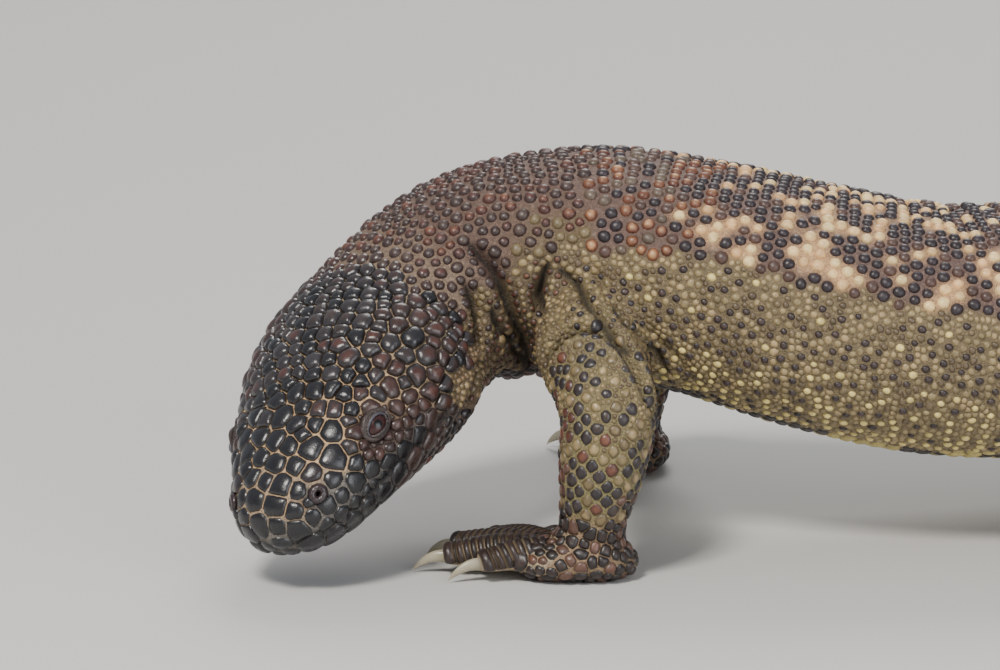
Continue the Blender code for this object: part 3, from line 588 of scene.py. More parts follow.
def flesh():
    """All of the animal's closed tubes, which the skin is drawn over."""
    parts = [rounded_tube(BODY, 0.0, BODY.length, 112, 1.3, -SKIN_DEPTH, 0.8, 2.6)]
    for leg in LEGS:
        parts.append(rounded_tube(leg.loft, 0.0, leg.loft.length, 40, 1.3, -0.6, 3.0, 2.0))
        parts.append(rounded_tube(leg.foot.ankle, 0.0, leg.foot.ankle.length, 40, 1.3, -0.6, 2.0, 2.0))
        parts.append(rounded_tube(leg.foot.palm, 0.0, leg.foot.palm.length, 40, 1.0, -0.5, 1.5, 1.5))
        for toe in leg.foot.toes:
            parts.append(rounded_tube(toe, 0.0, toe.knots[2], 24, 1.0, -0.55, 1.0, 2.2))
    points = []
    faces = []
    count = 0
    for p, f in parts:
        points.append(p)
        faces.append(np.where(f >= 0, f + count, -1))
        count += len(p)
    return np.vstack(points), np.vstack(faces)


def mesh_points(mesh):
    """A mesh's points in the tables' frame."""
    points = np.zeros(len(mesh.vertices) * 3)
    mesh.vertices.foreach_get("co", points)
    return points.reshape(-1, 3) / MM + np.array([*FOOTPRINT_MIDDLE, 0.0])


def mesh_edges(mesh):
    """Each edge's two points, by number."""
    edges = np.zeros(len(mesh.edges) * 2, np.int32)
    mesh.edges.foreach_get("vertices", edges)
    return edges.reshape(-1, 2)


def smoothed(points, edges, amount, rounds):
    """Draws each point towards its neighbours' middle by its amount, again and again."""
    a, b = edges[:, 0], edges[:, 1]
    count = np.bincount(np.concatenate([a, b]), minlength=len(points))[:, None]
    for _ in range(rounds):
        total = np.zeros_like(points)
        for axis in range(3):
            total[:, axis] = (np.bincount(a, points[b, axis], len(points))
                              + np.bincount(b, points[a, axis], len(points)))
        points = points + (total / np.maximum(count, 1) - points) * amount[:, None]
    return points


def distance_to_line(points, line):
    """Each point's distance to the nearest stretch of a line."""
    best = np.full(len(points), 1e9)
    for a, b in zip(line, line[1:]):
        ab = b - a
        t = np.clip((points - a) @ ab / (ab @ ab), 0, 1)
        best = np.minimum(best, np.linalg.norm(points - a - t[:, None] * ab, axis=1))
    return best


def near_line(points, line, margin):
    """The numbers of the points inside a line's box, grown by a margin."""
    return np.nonzero(((points > line.min(0) - margin) & (points < line.max(0) + margin)).all(1))[0]


def drawn_line(places, steps=8):
    """A smooth line on the body through places given as distance from the snout and angle."""
    places = np.array(places, float)
    t = np.linspace(0, len(places) - 1, (len(places) - 1) * steps + 1)
    s = np.interp(t, np.arange(len(places)), places[:, 0])
    angle = np.radians(np.interp(t, np.arange(len(places)), places[:, 1]))
    return BODY.surface(s, angle, -SKIN_DEPTH), t / t[-1]


def crease_lines(tree=None):
    """Each crease's depth, half width, line of points and share of its length at each point.

    The lines are drawn on to the skin where its tree is given.
    """
    lines = []
    for depth, width, places in CREASES:
        places = np.array(places)
        steps = np.linspace(0, len(places) - 1, (len(places) - 1) * 6 + 1)
        line = np.stack([np.interp(steps, np.arange(len(places)), c) for c in places.T], -1)
        if tree:
            line = np.array([tree.find_nearest(p)[0] for p in line.tolist()])
        lines.append((depth, width, line, steps / steps[-1]))
    return lines


def crease_distance(points, lines, deepest=0.0):
    """How far each point is from the nearest crease of more than a given depth."""
    best = np.full(len(points), 99.0)
    for depth, _, line, _ in lines:
        near = near_line(points, line, CREASE_REACH)
        if depth > deepest and len(near):
            best[near] = np.minimum(best[near], distance_to_line(points[near], line))
    return best


def mouth_lines():
    """The mouth's slit on the left and on the right."""
    s = np.linspace(1.0, HEAD_LENGTH - MOUTH_BACK, 40)
    return [BODY.surface(s, angle, -SKIN_DEPTH) for angle in (-mouth_angle(s), math.pi + mouth_angle(s))]


def leg_root_nearness(points):
    """1 at a leg's root, falling to 0 away from it."""
    near = np.zeros(len(points))
    for leg in LEGS:
        middle = leg.loft.at(np.array([leg.loft.length * 0.3]))[0, :3]
        gap = np.linalg.norm(points - middle, axis=1)
        near = np.maximum(near, np.clip(1.5 - gap / 20, 0, 1))
    return near


def vertex_normals(mesh):
    normals = np.zeros(len(mesh.vertices) * 3)
    mesh.vertices.foreach_get("normal", normals)
    return normals.reshape(-1, 3)


def put_points(mesh, points):
    mesh.vertices.foreach_set("co", to_scene(points).astype(np.float32).ravel())
    mesh.update()


def remeshed_flesh():
    """One closed mesh of even squares, drawn over all of the animal's tubes."""
    cage = new_mesh("cage", *flesh())
    remesh = cage.modifiers.new("remesh", "REMESH")
    remesh.mode = "VOXEL"
    remesh.voxel_size = VOXEL * MM
    remesh.use_smooth_shade = True
    graph = bpy.context.evaluated_depsgraph_get()
    mesh = bpy.data.meshes.new_from_object(cage.evaluated_get(graph))
    bpy.data.objects.remove(cage)
    return mesh


def refine(mesh):
    """Halves the squares of the face and along the creases."""
    points = mesh_points(mesh)
    forward, _, _ = head_frame()
    in_front = (points - in_head(FINE_START, 0, 0)) @ forward > 0
    near_head = np.linalg.norm(points - in_head(FINE_MIDDLE, 0, 0), axis=1) < FINE_RADIUS
    fine = in_front & near_head | (crease_distance(points, crease_lines()) < FINE_BY_CREASE)
    bm = bmesh.new()
    bm.from_mesh(mesh)
    chosen = [face for face in bm.faces if all(fine[corner.index] for corner in face.verts)]
    edges = list({edge for face in chosen for edge in face.edges})
    bmesh.ops.subdivide_edges(bm, edges=edges, cuts=1, use_grid_fill=True)
    bm.to_mesh(mesh)
    bm.free()


def press_folds(push, points):
    """Presses the soft folds into the skin, with a low roll on both sides."""
    for depth, width, places in FOLDS:
        line, t = drawn_line(places)
        near = near_line(points, line, FOLD_REACH)
        gap = np.linalg.norm(points[near, None] - line[None], axis=2)
        fade = np.sin(np.pi * np.clip(t[gap.argmin(1)] * 0.9 + 0.05, 0, 1)) ** 0.4
        gap = distance_to_line(points[near], line)
        groove = -depth * np.exp(-(gap / width) ** FOLD_SHARPNESS)
        roll = FOLD_ROLL * depth * np.exp(-((gap - width * 2.2) / width) ** 2)
        push[near] += (groove + roll) * fade


def press_creases(push, points, lines):
    """Presses the sharp creases into the skin, with a roll on both sides."""
    share, middle, spread = CREASE_ROLL
    for depth, width, line, steps in lines:
        near = near_line(points, line, CREASE_REACH)
        reach = np.linalg.norm(points[near, None] - line[None], axis=2)
        along = steps[reach.argmin(1)]
        fade = np.clip(np.minimum(along, 1 - along) * 6 + 0.1, 0, 1) ** 0.6
        gap = distance_to_line(points[near], line)
        roll = share * min(depth, CREASE_ROLL_LIMIT) * np.exp(-((gap - middle) / spread) ** 2)
        push[near] += (roll - depth * np.exp(-(gap / width) ** FOLD_SHARPNESS)) * fade


def hollow(gap, depth, width, sharpness=4):
    """How deep a hollow is at a distance from its middle."""
    return depth * np.exp(-(gap / width) ** sharpness)


def press_openings(push, points):
    """Sinks the eyes, the nostrils, the ears and the slit of the mouth."""
    forward, _, _ = head_frame()
    depth, middle, width = EYE_RIM
    length, height = EAR_SIZE
    for side in (1, -1):
        gap = np.linalg.norm(points - on_head(EYE_FORWARD, EYE_UP, side)[0], axis=1)
        push -= hollow(gap, *EYE_HOLLOW)
        push += hollow(gap - middle, depth, width, 2)
        gap = np.linalg.norm(points - on_head(NOSTRIL_FORWARD, NOSTRIL_UP, side)[0], axis=1)
        push -= hollow(gap, *NOSTRIL_HOLLOW)
        offset = points - on_head(EAR_FORWARD, EAR_UP, side)[0]
        ahead = offset @ forward
        sideways = np.linalg.norm(offset - np.outer(ahead, forward), axis=1)
        gap = np.sqrt((ahead / length) ** 2 + (sideways / height) ** 2)
        push -= hollow(gap, EAR_DEPTH, 1.0)
    near = np.nonzero(np.linalg.norm(points - in_head(46, 0, 0), axis=1) < 40)[0]
    for line in mouth_lines():
        gap = distance_to_line(points[near], line)
        push[near] -= hollow(gap, *MOUTH_HOLLOW, 2)


def make_skin():
    """The one skin over head, neck, trunk, tail and legs, with its folds and openings."""
    mesh = remeshed_flesh()
    refine(mesh)
    points = mesh_points(mesh)
    edges = mesh_edges(mesh)
    points = smoothed(points, edges, 0.35 + 0.25 * leg_root_nearness(points), 4)
    points = smoothed(points, edges, leg_root_nearness(points) * 0.6, 10)
    put_points(mesh, points)

    normal = vertex_normals(mesh)
    faces = [tuple(face.vertices) for face in mesh.polygons]
    lines = crease_lines(BVHTree.FromPolygons(points.tolist(), faces))
    crease = crease_distance(points, lines, MAIN_CREASE)
    push = np.zeros(len(points))
    press_folds(push, points)
    press_creases(push, points, lines)
    press_openings(push, points)
    points = points + normal * push[:, None]
    points[:, 2] = np.maximum(points[:, 2], 0.0)
    put_points(mesh, points)
    mesh.shade_smooth()
    mesh.name = "skin"
    skin = bpy.data.objects.new("skin", mesh)
    bpy.context.scene.collection.objects.link(skin)
    return skin, points, crease


class Surface:
    """The finished skin, to set scales on."""

    def __init__(self, obj, points, crease):
        faces = [tuple(face.vertices) for face in obj.data.polygons]
        self.points = points
        self.crease = crease
        self.normals = vertex_normals(obj.data)
        self.tree = BVHTree.FromPolygons(points.tolist(), faces)
        self.face_normals = unit(np.array([self.normals[list(face)].sum(0) for face in faces]))
        self.face_crease = np.array([crease[list(face)].mean() for face in faces])

    def settle(self, places):
        """The nearest points of the skin, its directions there and how far off each place was."""
        hits = [self.tree.find_nearest(p) for p in places.tolist()]
        found = np.array([hit[0] for hit in hits])
        index = np.array([hit[2] for hit in hits])
        far = np.array([hit[3] for hit in hits])
        return found, self.face_normals[index], far

    def crease_at(self, places):
        """How far each place is from the nearest crease, along the skin."""
        return self.face_crease[[self.tree.find_nearest(p)[2] for p in places.tolist()]]


# Kinds of scale
(HEAD, NECK, BACK, FLANK, BELLY, TAIL, LIMB, FOOT, BROW, LUMP, GRANULE, LABIAL, CHIN, FLANK_OVAL,
 LIMB_OVAL) = range(15)

# Sections of a scale, from its foot inward: share of its radius, share of its height
PACKED = [(1.0, -0.4), (0.985, 0.26), (0.92, 0.56), (0.70, 0.86), (0.36, 0.98)]
PLATE = [(1.0, -0.4), (0.985, 0.36), (0.92, 0.70), (0.72, 0.90), (0.40, 0.98)]
BEAD = [(1.0, -0.4), (0.98, 0.14), (0.89, 0.46), (0.70, 0.76), (0.38, 0.96)]
GRAIN = [(1.0, -0.3), (0.93, 0.42), (0.55, 0.92)]
LOW = [(1.0, -0.4), (0.95, 0.22), (0.74, 0.72), (0.38, 0.95)]
SHAPES = {
    # kind: corners, gap to the neighbours, largest size in half widths, height, sharpness, section
    HEAD: (20, 0.07, 2.2, 1.25, 18, PACKED), BROW: (20, 0.07, 1.7, 1.15, 14, PACKED),
    LABIAL: (20, 0.04, 2.5, 0.75, 20, PLATE), LUMP: (14, 0.05, 1.7, 0.95, 9, PACKED),
    GRANULE: (9, 0.05, 1.5, 0.6, 6, LOW), CHIN: (10, 0.07, 1.7, 0.7, 12, LOW),
    NECK: (10, 0.13, 1.12, 1.3, 6, BEAD), BACK: (10, 0.13, 1.10, 1.3, 6, BEAD),
    TAIL: (9, 0.13, 1.12, 1.15, 6, LOW), FLANK: (6, 0.02, 1.5, 0.4, 9, GRAIN),
    FLANK_OVAL: (9, 0.05, 1.15, 0.7, 5, LOW), BELLY: (9, 0.14, 1.7, 0.6, 12, LOW),
    LIMB: (6, 0.02, 1.5, 0.4, 9, GRAIN),
    LIMB_OVAL: (12, 0.07, 1.4, 0.65, 9, LOW), FOOT: (12, 0.06, 2.2, 0.75, 12, PACKED),
}

# How much higher the head's plates stand at distances from the snout, how much of the skin's colour the rows
# of a scale take from its foot up, and how far the two lips' plates stay apart
HEAD_HEIGHTS = ((0, 0.62), (12, 0.72), (26, 0.95), (38, 1.25), (66, 1.3))
EDGE_SHARE = (1.0, 0.12)
LIP_GAP = 0.1

# Ranks: a scale gives way to one of a higher rank, and the face's, from PLACED up, stay where they are set.
# Two scales are too close where the gap is under ROOM of their half widths' sum.
COMMON = 1
OVALS = 3
PLACED = 5
ROOM = 0.78
OVAL_ROOM = 0.9

# Fields of scales: pitch at distances from the snout, and edges as distance and angle in degrees
RIDGE = math.pi / 2
KEEL = 1.5 * math.pi
FACE_START = 2.0
JAW_START = 44
PLATES_END = 66.0
ELBOW = 0.42
BELLY_ANGLE = math.radians(-56)
GRAIN_PITCH = 1.5
LID_GRANULES = 17
HEAD_PITCHES = ((0, 5.0), (6, 4.8), (14, 4.5), (24, 4.1), (36, 4.0), (50, 4.0), (62, 3.6), (76, 3.0),
                (112, 3.0))
CHIN_PITCHES = ((0, 4.8), (16, 4.0), (44, 3.2))
TAIL_PITCHES = ((TAIL_START, 3.1), (440, 3.0), (535, 2.7), (628, 1.9))
JAW_EDGE = ((44, -12), (53, 2), (63, 13), (66, 17))
NECK_EDGE = ((66, 17), (72, 13), (80, 9), (88, 15), (100, 10), (112, 12))
THROAT_EDGE = ((44, -14), (56, -26), (70, -44), (112, -58))
FLANK_EDGE = ((112, -14), (125, 12), (142, 22), (195, 18), (330, 10), (345, -20))


class Seeds:
    """Scale places in the making: each list's rows belong together."""

    FIELDS = ("at", "along", "wide", "kind", "rank", "s", "angle", "limb")

    def __init__(self):
        self.rows = {field: [] for field in self.FIELDS}

    def add(self, at, along, wide, kind, rank, s, angle, limb=-1):
        """Adds scales: place, direction, half length and width, kind, rank, and place on the body."""
        count = len(at)
        self.rows["at"].append(np.asarray(at, float))
        self.rows["along"].append(np.broadcast_to(along, (count, 3)).astype(float))
        wide = np.broadcast_to(wide, (count, 2)) if np.ndim(wide) else np.full((count, 2), wide)
        self.rows["wide"].append(wide.astype(float))
        for field, value in (("kind", kind), ("rank", rank), ("s", s), ("angle", angle), ("limb", limb)):
            self.rows[field].append(np.broadcast_to(value, count).astype(float))

    def shrink(self, kind, size):
        """Gives all scales of one kind the same half length and width, each as varied as it was."""
        for kinds, wide in zip(self.rows["kind"], self.rows["wide"]):
            if kinds[0] == kind:
                wide[:] = wide / wide.mean() * np.array(size)

    def finish(self):
        for field in self.FIELDS:
            setattr(self, field, np.concatenate(self.rows[field]))

    def clear_of_crease(self, crease):
        """Whether each scale, for its size, is far enough from its nearest crease."""
        least, by_size = BARE_CREASE
        return crease > least + by_size * self.wide.mean(1)

    def keep(self, mask):
        for field in self.FIELDS:
            setattr(self, field, getattr(self, field)[mask])

    def extend(self, at, source):
        """Adds scales like those at the source indices, at new places."""
        for field in self.FIELDS:
            extra = at if field == "at" else getattr(self, field)[source]
            setattr(self, field, np.concatenate([getattr(self, field), extra]))


def seed_rows(seeds, loft, start, end, pitch, low, high, kind, rank=COMMON, limb=-1, middle=None, squash=0.87,
              jitter=0.07, varied=0.06, oval=1.0, thick=1.0):
    """Scales in rows across a loft. pitch, low and high are functions of the distance along it."""
    s = start
    number = 0
    while s < end:
        step = pitch(s)
        angle = np.linspace(low(s), high(s), 160)
        line = loft.surface(s, angle)
        arc = np.concatenate([[0], np.cumsum(np.linalg.norm(np.diff(line, axis=0), axis=1))])
        centre = arc[-1] / 2 if middle is None else np.interp(middle, angle, arc)
        reach = int(arc[-1] / step) + 2
        spots = centre + (np.arange(-reach, reach + 1) + 0.5 * (number % 2)) * step
        spots = spots[(spots >= 0) & (spots <= arc[-1])]
        if len(spots):
            spots = spots + RANDOM.normal(0, jitter * step, len(spots))
            where = s + RANDOM.normal(0, jitter * step, len(spots))
            where = np.clip(where, 0, loft.length)
            angles = np.interp(spots, arc, angle)
            _, along, _, _ = loft.frame(where)
            size = thick * step / 2 * (1 + RANDOM.uniform(-varied, varied, (len(spots), 1)))
            size = size * np.array([oval, 1 / oval])
            seeds.add(loft.surface(where, angles), along, size, kind, rank, where, angles, limb)
        s += step * squash
        number += 1


def fixed(value):
    return lambda s: value


def stepped(table):
    """A function that runs straight between a table's pairs."""
    table = np.array(table, float)
    return lambda s: float(np.interp(s, table[:, 0], table[:, 1]))


def edge(table):
    """An edge along the body: its angle at each distance, from a table in degrees."""
    degrees = stepped(table)
    return lambda s: math.radians(degrees(s))


def raised(edge_angle, by):
    return lambda s: edge_angle(s) + by


def mirrored(edge_angle):
    """A left edge's angle on the right side."""
    return lambda s: math.pi - edge_angle(s)


def seed_sides(seeds, start, end, low, high, gap, oval_pitch, grain_pitch, jitter, varied):
    """Ovals with granules between them on both sides of the body, from one edge up to another."""
    for bottom, top in ((low, raised(high, -gap)), (raised(mirrored(high), gap), mirrored(low))):
        seed_rows(seeds, BODY, start, end, fixed(oval_pitch), bottom, top, FLANK_OVAL, rank=OVALS,
                  jitter=jitter, varied=varied)
        seed_rows(seeds, BODY, start, end, fixed(grain_pitch), bottom, top, FLANK, jitter=0.14, varied=0.2)


def seed_head_and_neck(seeds):
    """Plates of the head, beads of the neck, and granules below them and on the throat."""
    lip = lambda s: -float(mouth_angle(s)[0])
    jaw = edge(JAW_EDGE)
    neck = edge(NECK_EDGE)
    throat = edge(THROAT_EDGE)
    pitch = stepped(HEAD_PITCHES)
    seed_rows(seeds, BODY, FACE_START, JAW_START, pitch, raised(lip, 0.10), raised(mirrored(lip), -0.10),
              HEAD, middle=RIDGE, jitter=0.11, varied=0.2)
    seed_rows(seeds, BODY, JAW_START, PLATES_END, pitch, jaw, mirrored(jaw), HEAD, middle=RIDGE,
              jitter=0.14, varied=0.2, squash=1.02, oval=1.06)
    seed_rows(seeds, BODY, PLATES_END, TRUNK_START, pitch, neck, mirrored(neck), NECK, middle=RIDGE,
              jitter=0.12, varied=0.18)
    top = lambda s: jaw(s) if s < PLATES_END else neck(s)
    seed_sides(seeds, JAW_START + 2, TRUNK_START, throat, top, 0.03, 3.2, GRAIN_PITCH + 0.1, 0.16, 0.2)
    seed_rows(seeds, BODY, FACE_START, JAW_START, stepped(CHIN_PITCHES), raised(mirrored(lip), 0.06),
              raised(raised(lip, TURN), -0.06), CHIN, middle=KEEL, varied=0.12)
    seed_rows(seeds, BODY, JAW_START, TRUNK_START, fixed(2.7), raised(mirrored(throat), 0.05),
              raised(raised(throat, TURN), -0.05), CHIN, middle=KEEL, varied=0.12)


def seed_trunk_and_tail(seeds):
    """Beads of the back, ovals and granules of the flanks, flat scales of the belly, beads of the tail."""
    start = TRUNK_START + 1
    flank = edge(FLANK_EDGE)
    seed_rows(seeds, BODY, start, TAIL_START, fixed(3.1), flank, mirrored(flank), BACK, middle=RIDGE,
              jitter=0.09, varied=0.12)
    seed_sides(seeds, start, TAIL_START, fixed(BELLY_ANGLE), flank, 0.04, 3.3, GRAIN_PITCH, 0.12, 0.16)
    seeds.shrink(FLANK_OVAL, (1.08, 0.80))
    seed_rows(seeds, BODY, start, TAIL_START, fixed(3.0), fixed(math.pi - BELLY_ANGLE + 0.03),
              fixed(TURN + BELLY_ANGLE - 0.03), BELLY, middle=KEEL)
    seed_rows(seeds, BODY, TAIL_START + 1, BODY.length - 1, stepped(TAIL_PITCHES), fixed(-RIDGE),
              fixed(KEEL - 0.01), TAIL, middle=RIDGE)


def opening_frame(forward_at, up_at, side):
    """An opening's place on the head, and the directions out of it, forward and up."""
    forward, _, _ = head_frame()
    spot, normal = on_head(forward_at, up_at, side)
    ahead = unit(forward - normal * (forward @ normal))
    return spot, normal, ahead, np.cross(normal, ahead)


def seed_face(seeds, skin):
    """The face's main plates, lip plates and the lumps and granules round the eyes and nostrils."""
    for side in (1, -1):
        for table, kind, rank in ((FACE_PLATES, HEAD, 10), (BROW_PLATES, BROW, 11), (LIP_PLATES, LABIAL, 8),
                                  (LUMPS, LUMP, 7)):
            rows = np.array(table, float)
            if side < 0:
                rows = rows[rows[:, 1] < FIRST_MIDLINE_ANGLE]
                rank -= 1
            s, angle = rows[:, 0], np.radians(rows[:, 1])
            angle = angle if side > 0 else math.pi - angle
            _, along, _, _ = BODY.frame(s)
            seeds.add(BODY.surface(s, angle), along, rows[:, 2:], kind, rank, s, angle)
        spot, _, ahead, high = opening_frame(EYE_FORWARD, EYE_UP, side)
        turn = (np.arange(LID_GRANULES) + RANDOM.normal(0, 0.1, LID_GRANULES)) * TURN / LID_GRANULES
        ring = spot + np.outer(np.cos(turn) * 4.3, ahead) + np.outer(np.sin(turn) * 3.3, high)
        seeds.add(skin.settle(ring)[0], ahead, 0.7, GRANULE, PLACED, HEAD_LENGTH - EYE_FORWARD, 0.5)
        spot, _, ahead, high = opening_frame(NOSTRIL_FORWARD, NOSTRIL_UP, side)
        turn = np.radians([-150, -105, -60, -15])
        ring = spot + 2.7 * (np.outer(np.cos(turn), ahead) + np.outer(np.sin(turn), high))
        seeds.add(skin.settle(ring)[0], ahead, 1.25, LUMP, PLACED, HEAD_LENGTH - NOSTRIL_FORWARD, 0.4)


def seed_legs(seeds):
    """Scales of the legs and the tops of the feet. The toes have bands instead."""
    for number, leg in enumerate(LEGS):
        loft, ankle, palm = leg.loft, leg.foot.ankle, leg.foot.palm
        start = loft.length * 0.12
        elbow = loft.length * ELBOW
        round_leg = (fixed(0.0), fixed(TURN * 0.995))
        seed_rows(seeds, loft, start, elbow, fixed(2.6), *round_leg, LIMB_OVAL, rank=OVALS,
                  limb=number, squash=1.0, jitter=0.1, varied=0.2, oval=1.22, thick=0.62)
        seed_rows(seeds, loft, elbow, loft.length - 2, fixed(4.5), fixed(0.0), fixed(TURN * 0.985), LIMB_OVAL,
                  rank=OVALS, limb=number, squash=0.35, jitter=0.035, varied=0.12, oval=1.19, thick=0.65)
        seed_rows(seeds, loft, start, elbow, fixed(1.45), *round_leg, LIMB,
                  limb=number, jitter=0.14, varied=0.2)
        seed_rows(seeds, ankle, 1.0, 5.0, fixed(2.5), fixed(0.0), fixed(TURN * 0.99), FOOT,
                  limb=number, varied=0.16, oval=1.15)
        seed_rows(seeds, palm, 1.0, palm.length - 1.0, fixed(2.5), fixed(-0.35), fixed(math.pi + 0.35), FOOT,
                  limb=number, varied=0.16)


def kd_tree(points):
    tree = KDTree(len(points))
    for k, p in enumerate(points.tolist()):
        tree.insert(p, k)
    tree.balance()
    return tree


def neighbours(points, count):
    """The numbers of each point's nearest others."""
    tree = kd_tree(points)
    return np.array([[hit[1] for hit in tree.find_n(p, count + 1)[1:]] for p in points.tolist()])


def openings():
    """Places that scales leave bare, with the radius of each."""
    spots = []
    for side in (1, -1):
        spots.append((on_head(EYE_FORWARD, EYE_UP, side)[0], BARE_EYE))
        spots.append((on_head(NOSTRIL_FORWARD, NOSTRIL_UP, side)[0], BARE_NOSTRIL))
        for rise in (-2.4, 0.0, 2.4):
            spots.append((on_head(EAR_FORWARD, EAR_UP + rise, side)[0], BARE_EAR))
    return spots


def on_sole(points, normals):
    """Whether points lie on the flats that the animal rests on."""
    return (points[:, 2] < 0.8) & (normals[:, 2] < -0.3)


def toe_distance(points):
    """How far each point is from the nearest toe beyond its root, seen from above."""
    best = np.full(len(points), 1e9)
    for leg in LEGS:
        for toe in leg.foot.toes:
            rows = toe.at(np.linspace(toe.length * 0.34, toe.length, 10))
            best = np.minimum(best, np.linalg.norm(points[:, None, :2] - rows[None, :, :2], axis=2).min(1))
    return best


def drop_unfit(seeds, skin):
    """Sets the scales on the skin and drops those off it, on soles, toes, openings or creases."""
    seeds.at, normal, far = skin.settle(seeds.at)
    keep = (far < 6.0) & ~on_sole(seeds.at, normal)
    for spot, radius in openings():
        keep &= np.linalg.norm(seeds.at - spot, axis=1) > radius
    keep &= seeds.clear_of_crease(skin.crease_at(seeds.at))
    of_leg = np.isin(seeds.kind, (FOOT, LIMB, LIMB_OVAL))
    keep &= ~(of_leg & (toe_distance(seeds.at) < TOE_RADIUS))
    seeds.keep(keep)


def thin_out(seeds):
    """Drops scales that crowd one of a higher rank, or of the same rank by chance."""
    mean = seeds.wide.mean(1)
    widest = mean.max()
    tree = kd_tree(seeds.at)
    alive = np.ones(len(mean), bool)
    order = np.argsort(-seeds.rank * 100 + RANDOM.random(len(mean)), kind="stable")
    points = seeds.at.tolist()
    for k in order.tolist():
        if not alive[k]:
            continue
        for _, other, gap in tree.find_range(points[k], OVAL_ROOM * (mean[k] + widest)):
            granule_by_oval = seeds.rank[k] == OVALS and seeds.rank[other] == COMMON
            room = OVAL_ROOM if granule_by_oval else ROOM
            if other != k and gap < room * (mean[k] + mean[other]):
                alive[other] = False
    seeds.keep(alive)


def fill_holes(seeds, skin):
    """Adds scales like their neighbours wherever wide bare spots are left on the skin."""
    spots = skin.points
    usable = ~on_sole(spots, skin.normals) & (skin.crease > FILL_CREASE)
    for spot, radius in openings():
        usable &= np.linalg.norm(spots - spot, axis=1) > radius + 0.6
    usable &= ~((toe_distance(spots) < TOE_RADIUS) & (spots[:, 2] < 12))
    usable = np.nonzero(usable)[0]
    for _ in range(2):
        tree = kd_tree(seeds.at)
        common = np.nonzero(seeds.rank <= COMMON)[0]
        common_tree = kd_tree(seeds.at[common])
        mean = seeds.wide.mean(1)
        found = [tree.find(p) for p in spots[usable].tolist()]
        nearest = np.array([hit[1] for hit in found])
        gap = np.array([hit[2] for hit in found])
        maybe = gap > 0.7 * (mean[nearest] + 0.9)
        candidates, nearest, gap = usable[maybe], nearest[maybe], gap[maybe]
        model = common[[common_tree.find(p)[1] for p in spots[candidates].tolist()]]
        pitch = mean[nearest] + mean[model]
        loose = gap > 0.82 * pitch
        candidates, model, gap, pitch = (v[loose] for v in (candidates, model, gap, pitch))
        chosen = []
        for k in np.argsort(-gap / pitch).tolist():
            p = spots[candidates[k]]
            if chosen:
                others = spots[candidates[chosen]]
                if np.linalg.norm(others - p, axis=1).min() < 1.64 * mean[model[k]]:
                    continue
            chosen.append(k)
        if chosen:
            seeds.extend(spots[candidates[chosen]], model[chosen])
            seeds.rank[-len(chosen):] = 0
            seeds.wide[-len(chosen):] = seeds.wide[-len(chosen):].mean(1, keepdims=True)


def spread_out(seeds, skin):
    """Pushes the scales apart along the skin until they lie evenly. The face's own plates stay."""
    for _ in range(4):
        near = neighbours(seeds.at, 7)
        mean = seeds.wide.mean(1)
        away = seeds.at[:, None] - seeds.at[near]
        gap = np.linalg.norm(away, axis=2)
        wanted = mean[:, None] + mean[near]
        force = np.clip(1 - gap / (wanted * 1.02), 0, 0.5)
        move = (away / np.maximum(gap, 1e-6)[..., None] * (force * wanted)[..., None]).sum(1) * 0.35
        move[seeds.rank >= PLACED] = 0
        seeds.at, seeds.normal, _ = skin.settle(seeds.at + move)
    seeds.normal = unit(seeds.normal)


def settle_seeds(seeds, skin):
    """Sets the scales on the skin, drops crowded ones, fills holes and spreads the rest evenly."""
    drop_unfit(seeds, skin)
    thin_out(seeds)
    fill_holes(seeds, skin)
    spread_out(seeds, skin)
    seeds.crease = skin.crease_at(seeds.at)
    seeds.FIELDS = seeds.FIELDS + ("normal", "crease")
    seeds.keep(seeds.clear_of_crease(seeds.crease))


def noises(points, scale, seed=0.0):
    """Smooth noise from -1 to 1 at each point."""
    return np.array([noise.noise(Vector((x * scale + seed, y * scale, z * scale)))
                     for x, y, z in points.tolist()])


def blend(a, b, t):
    return a + (b - a) * np.asarray(t)[..., None]


def pale_patches(seeds):
    """How deep each scale of the back lies in a pale patch: above 0 inside, below 0 outside."""
    deep = np.full(len(seeds.at), -1.0)
    trunk = np.arange(138, TAIL_START, 10.2)
    for angle, spread, radius in ((32, 4, 2.9), (148, 4, 2.9), (54, 6, 1.9), (126, 6, 1.9), (74, 7, 1.9),
                                  (106, 7, 2.0)):
        s = trunk + RANDOM.normal(0, 1.6, len(trunk)) + (5 if 40 < angle < 60 or 120 < angle < 140 else 0)
        turn = np.radians(angle + RANDOM.normal(0, spread, len(trunk)))
        sizes = radius * RANDOM.uniform(0.75, 1.3, len(trunk))
        for spot, size in zip(BODY.surface(s, turn), sizes):
            deep = np.maximum(deep, 1 - np.linalg.norm(seeds.at - spot, axis=1) / size)
    return deep


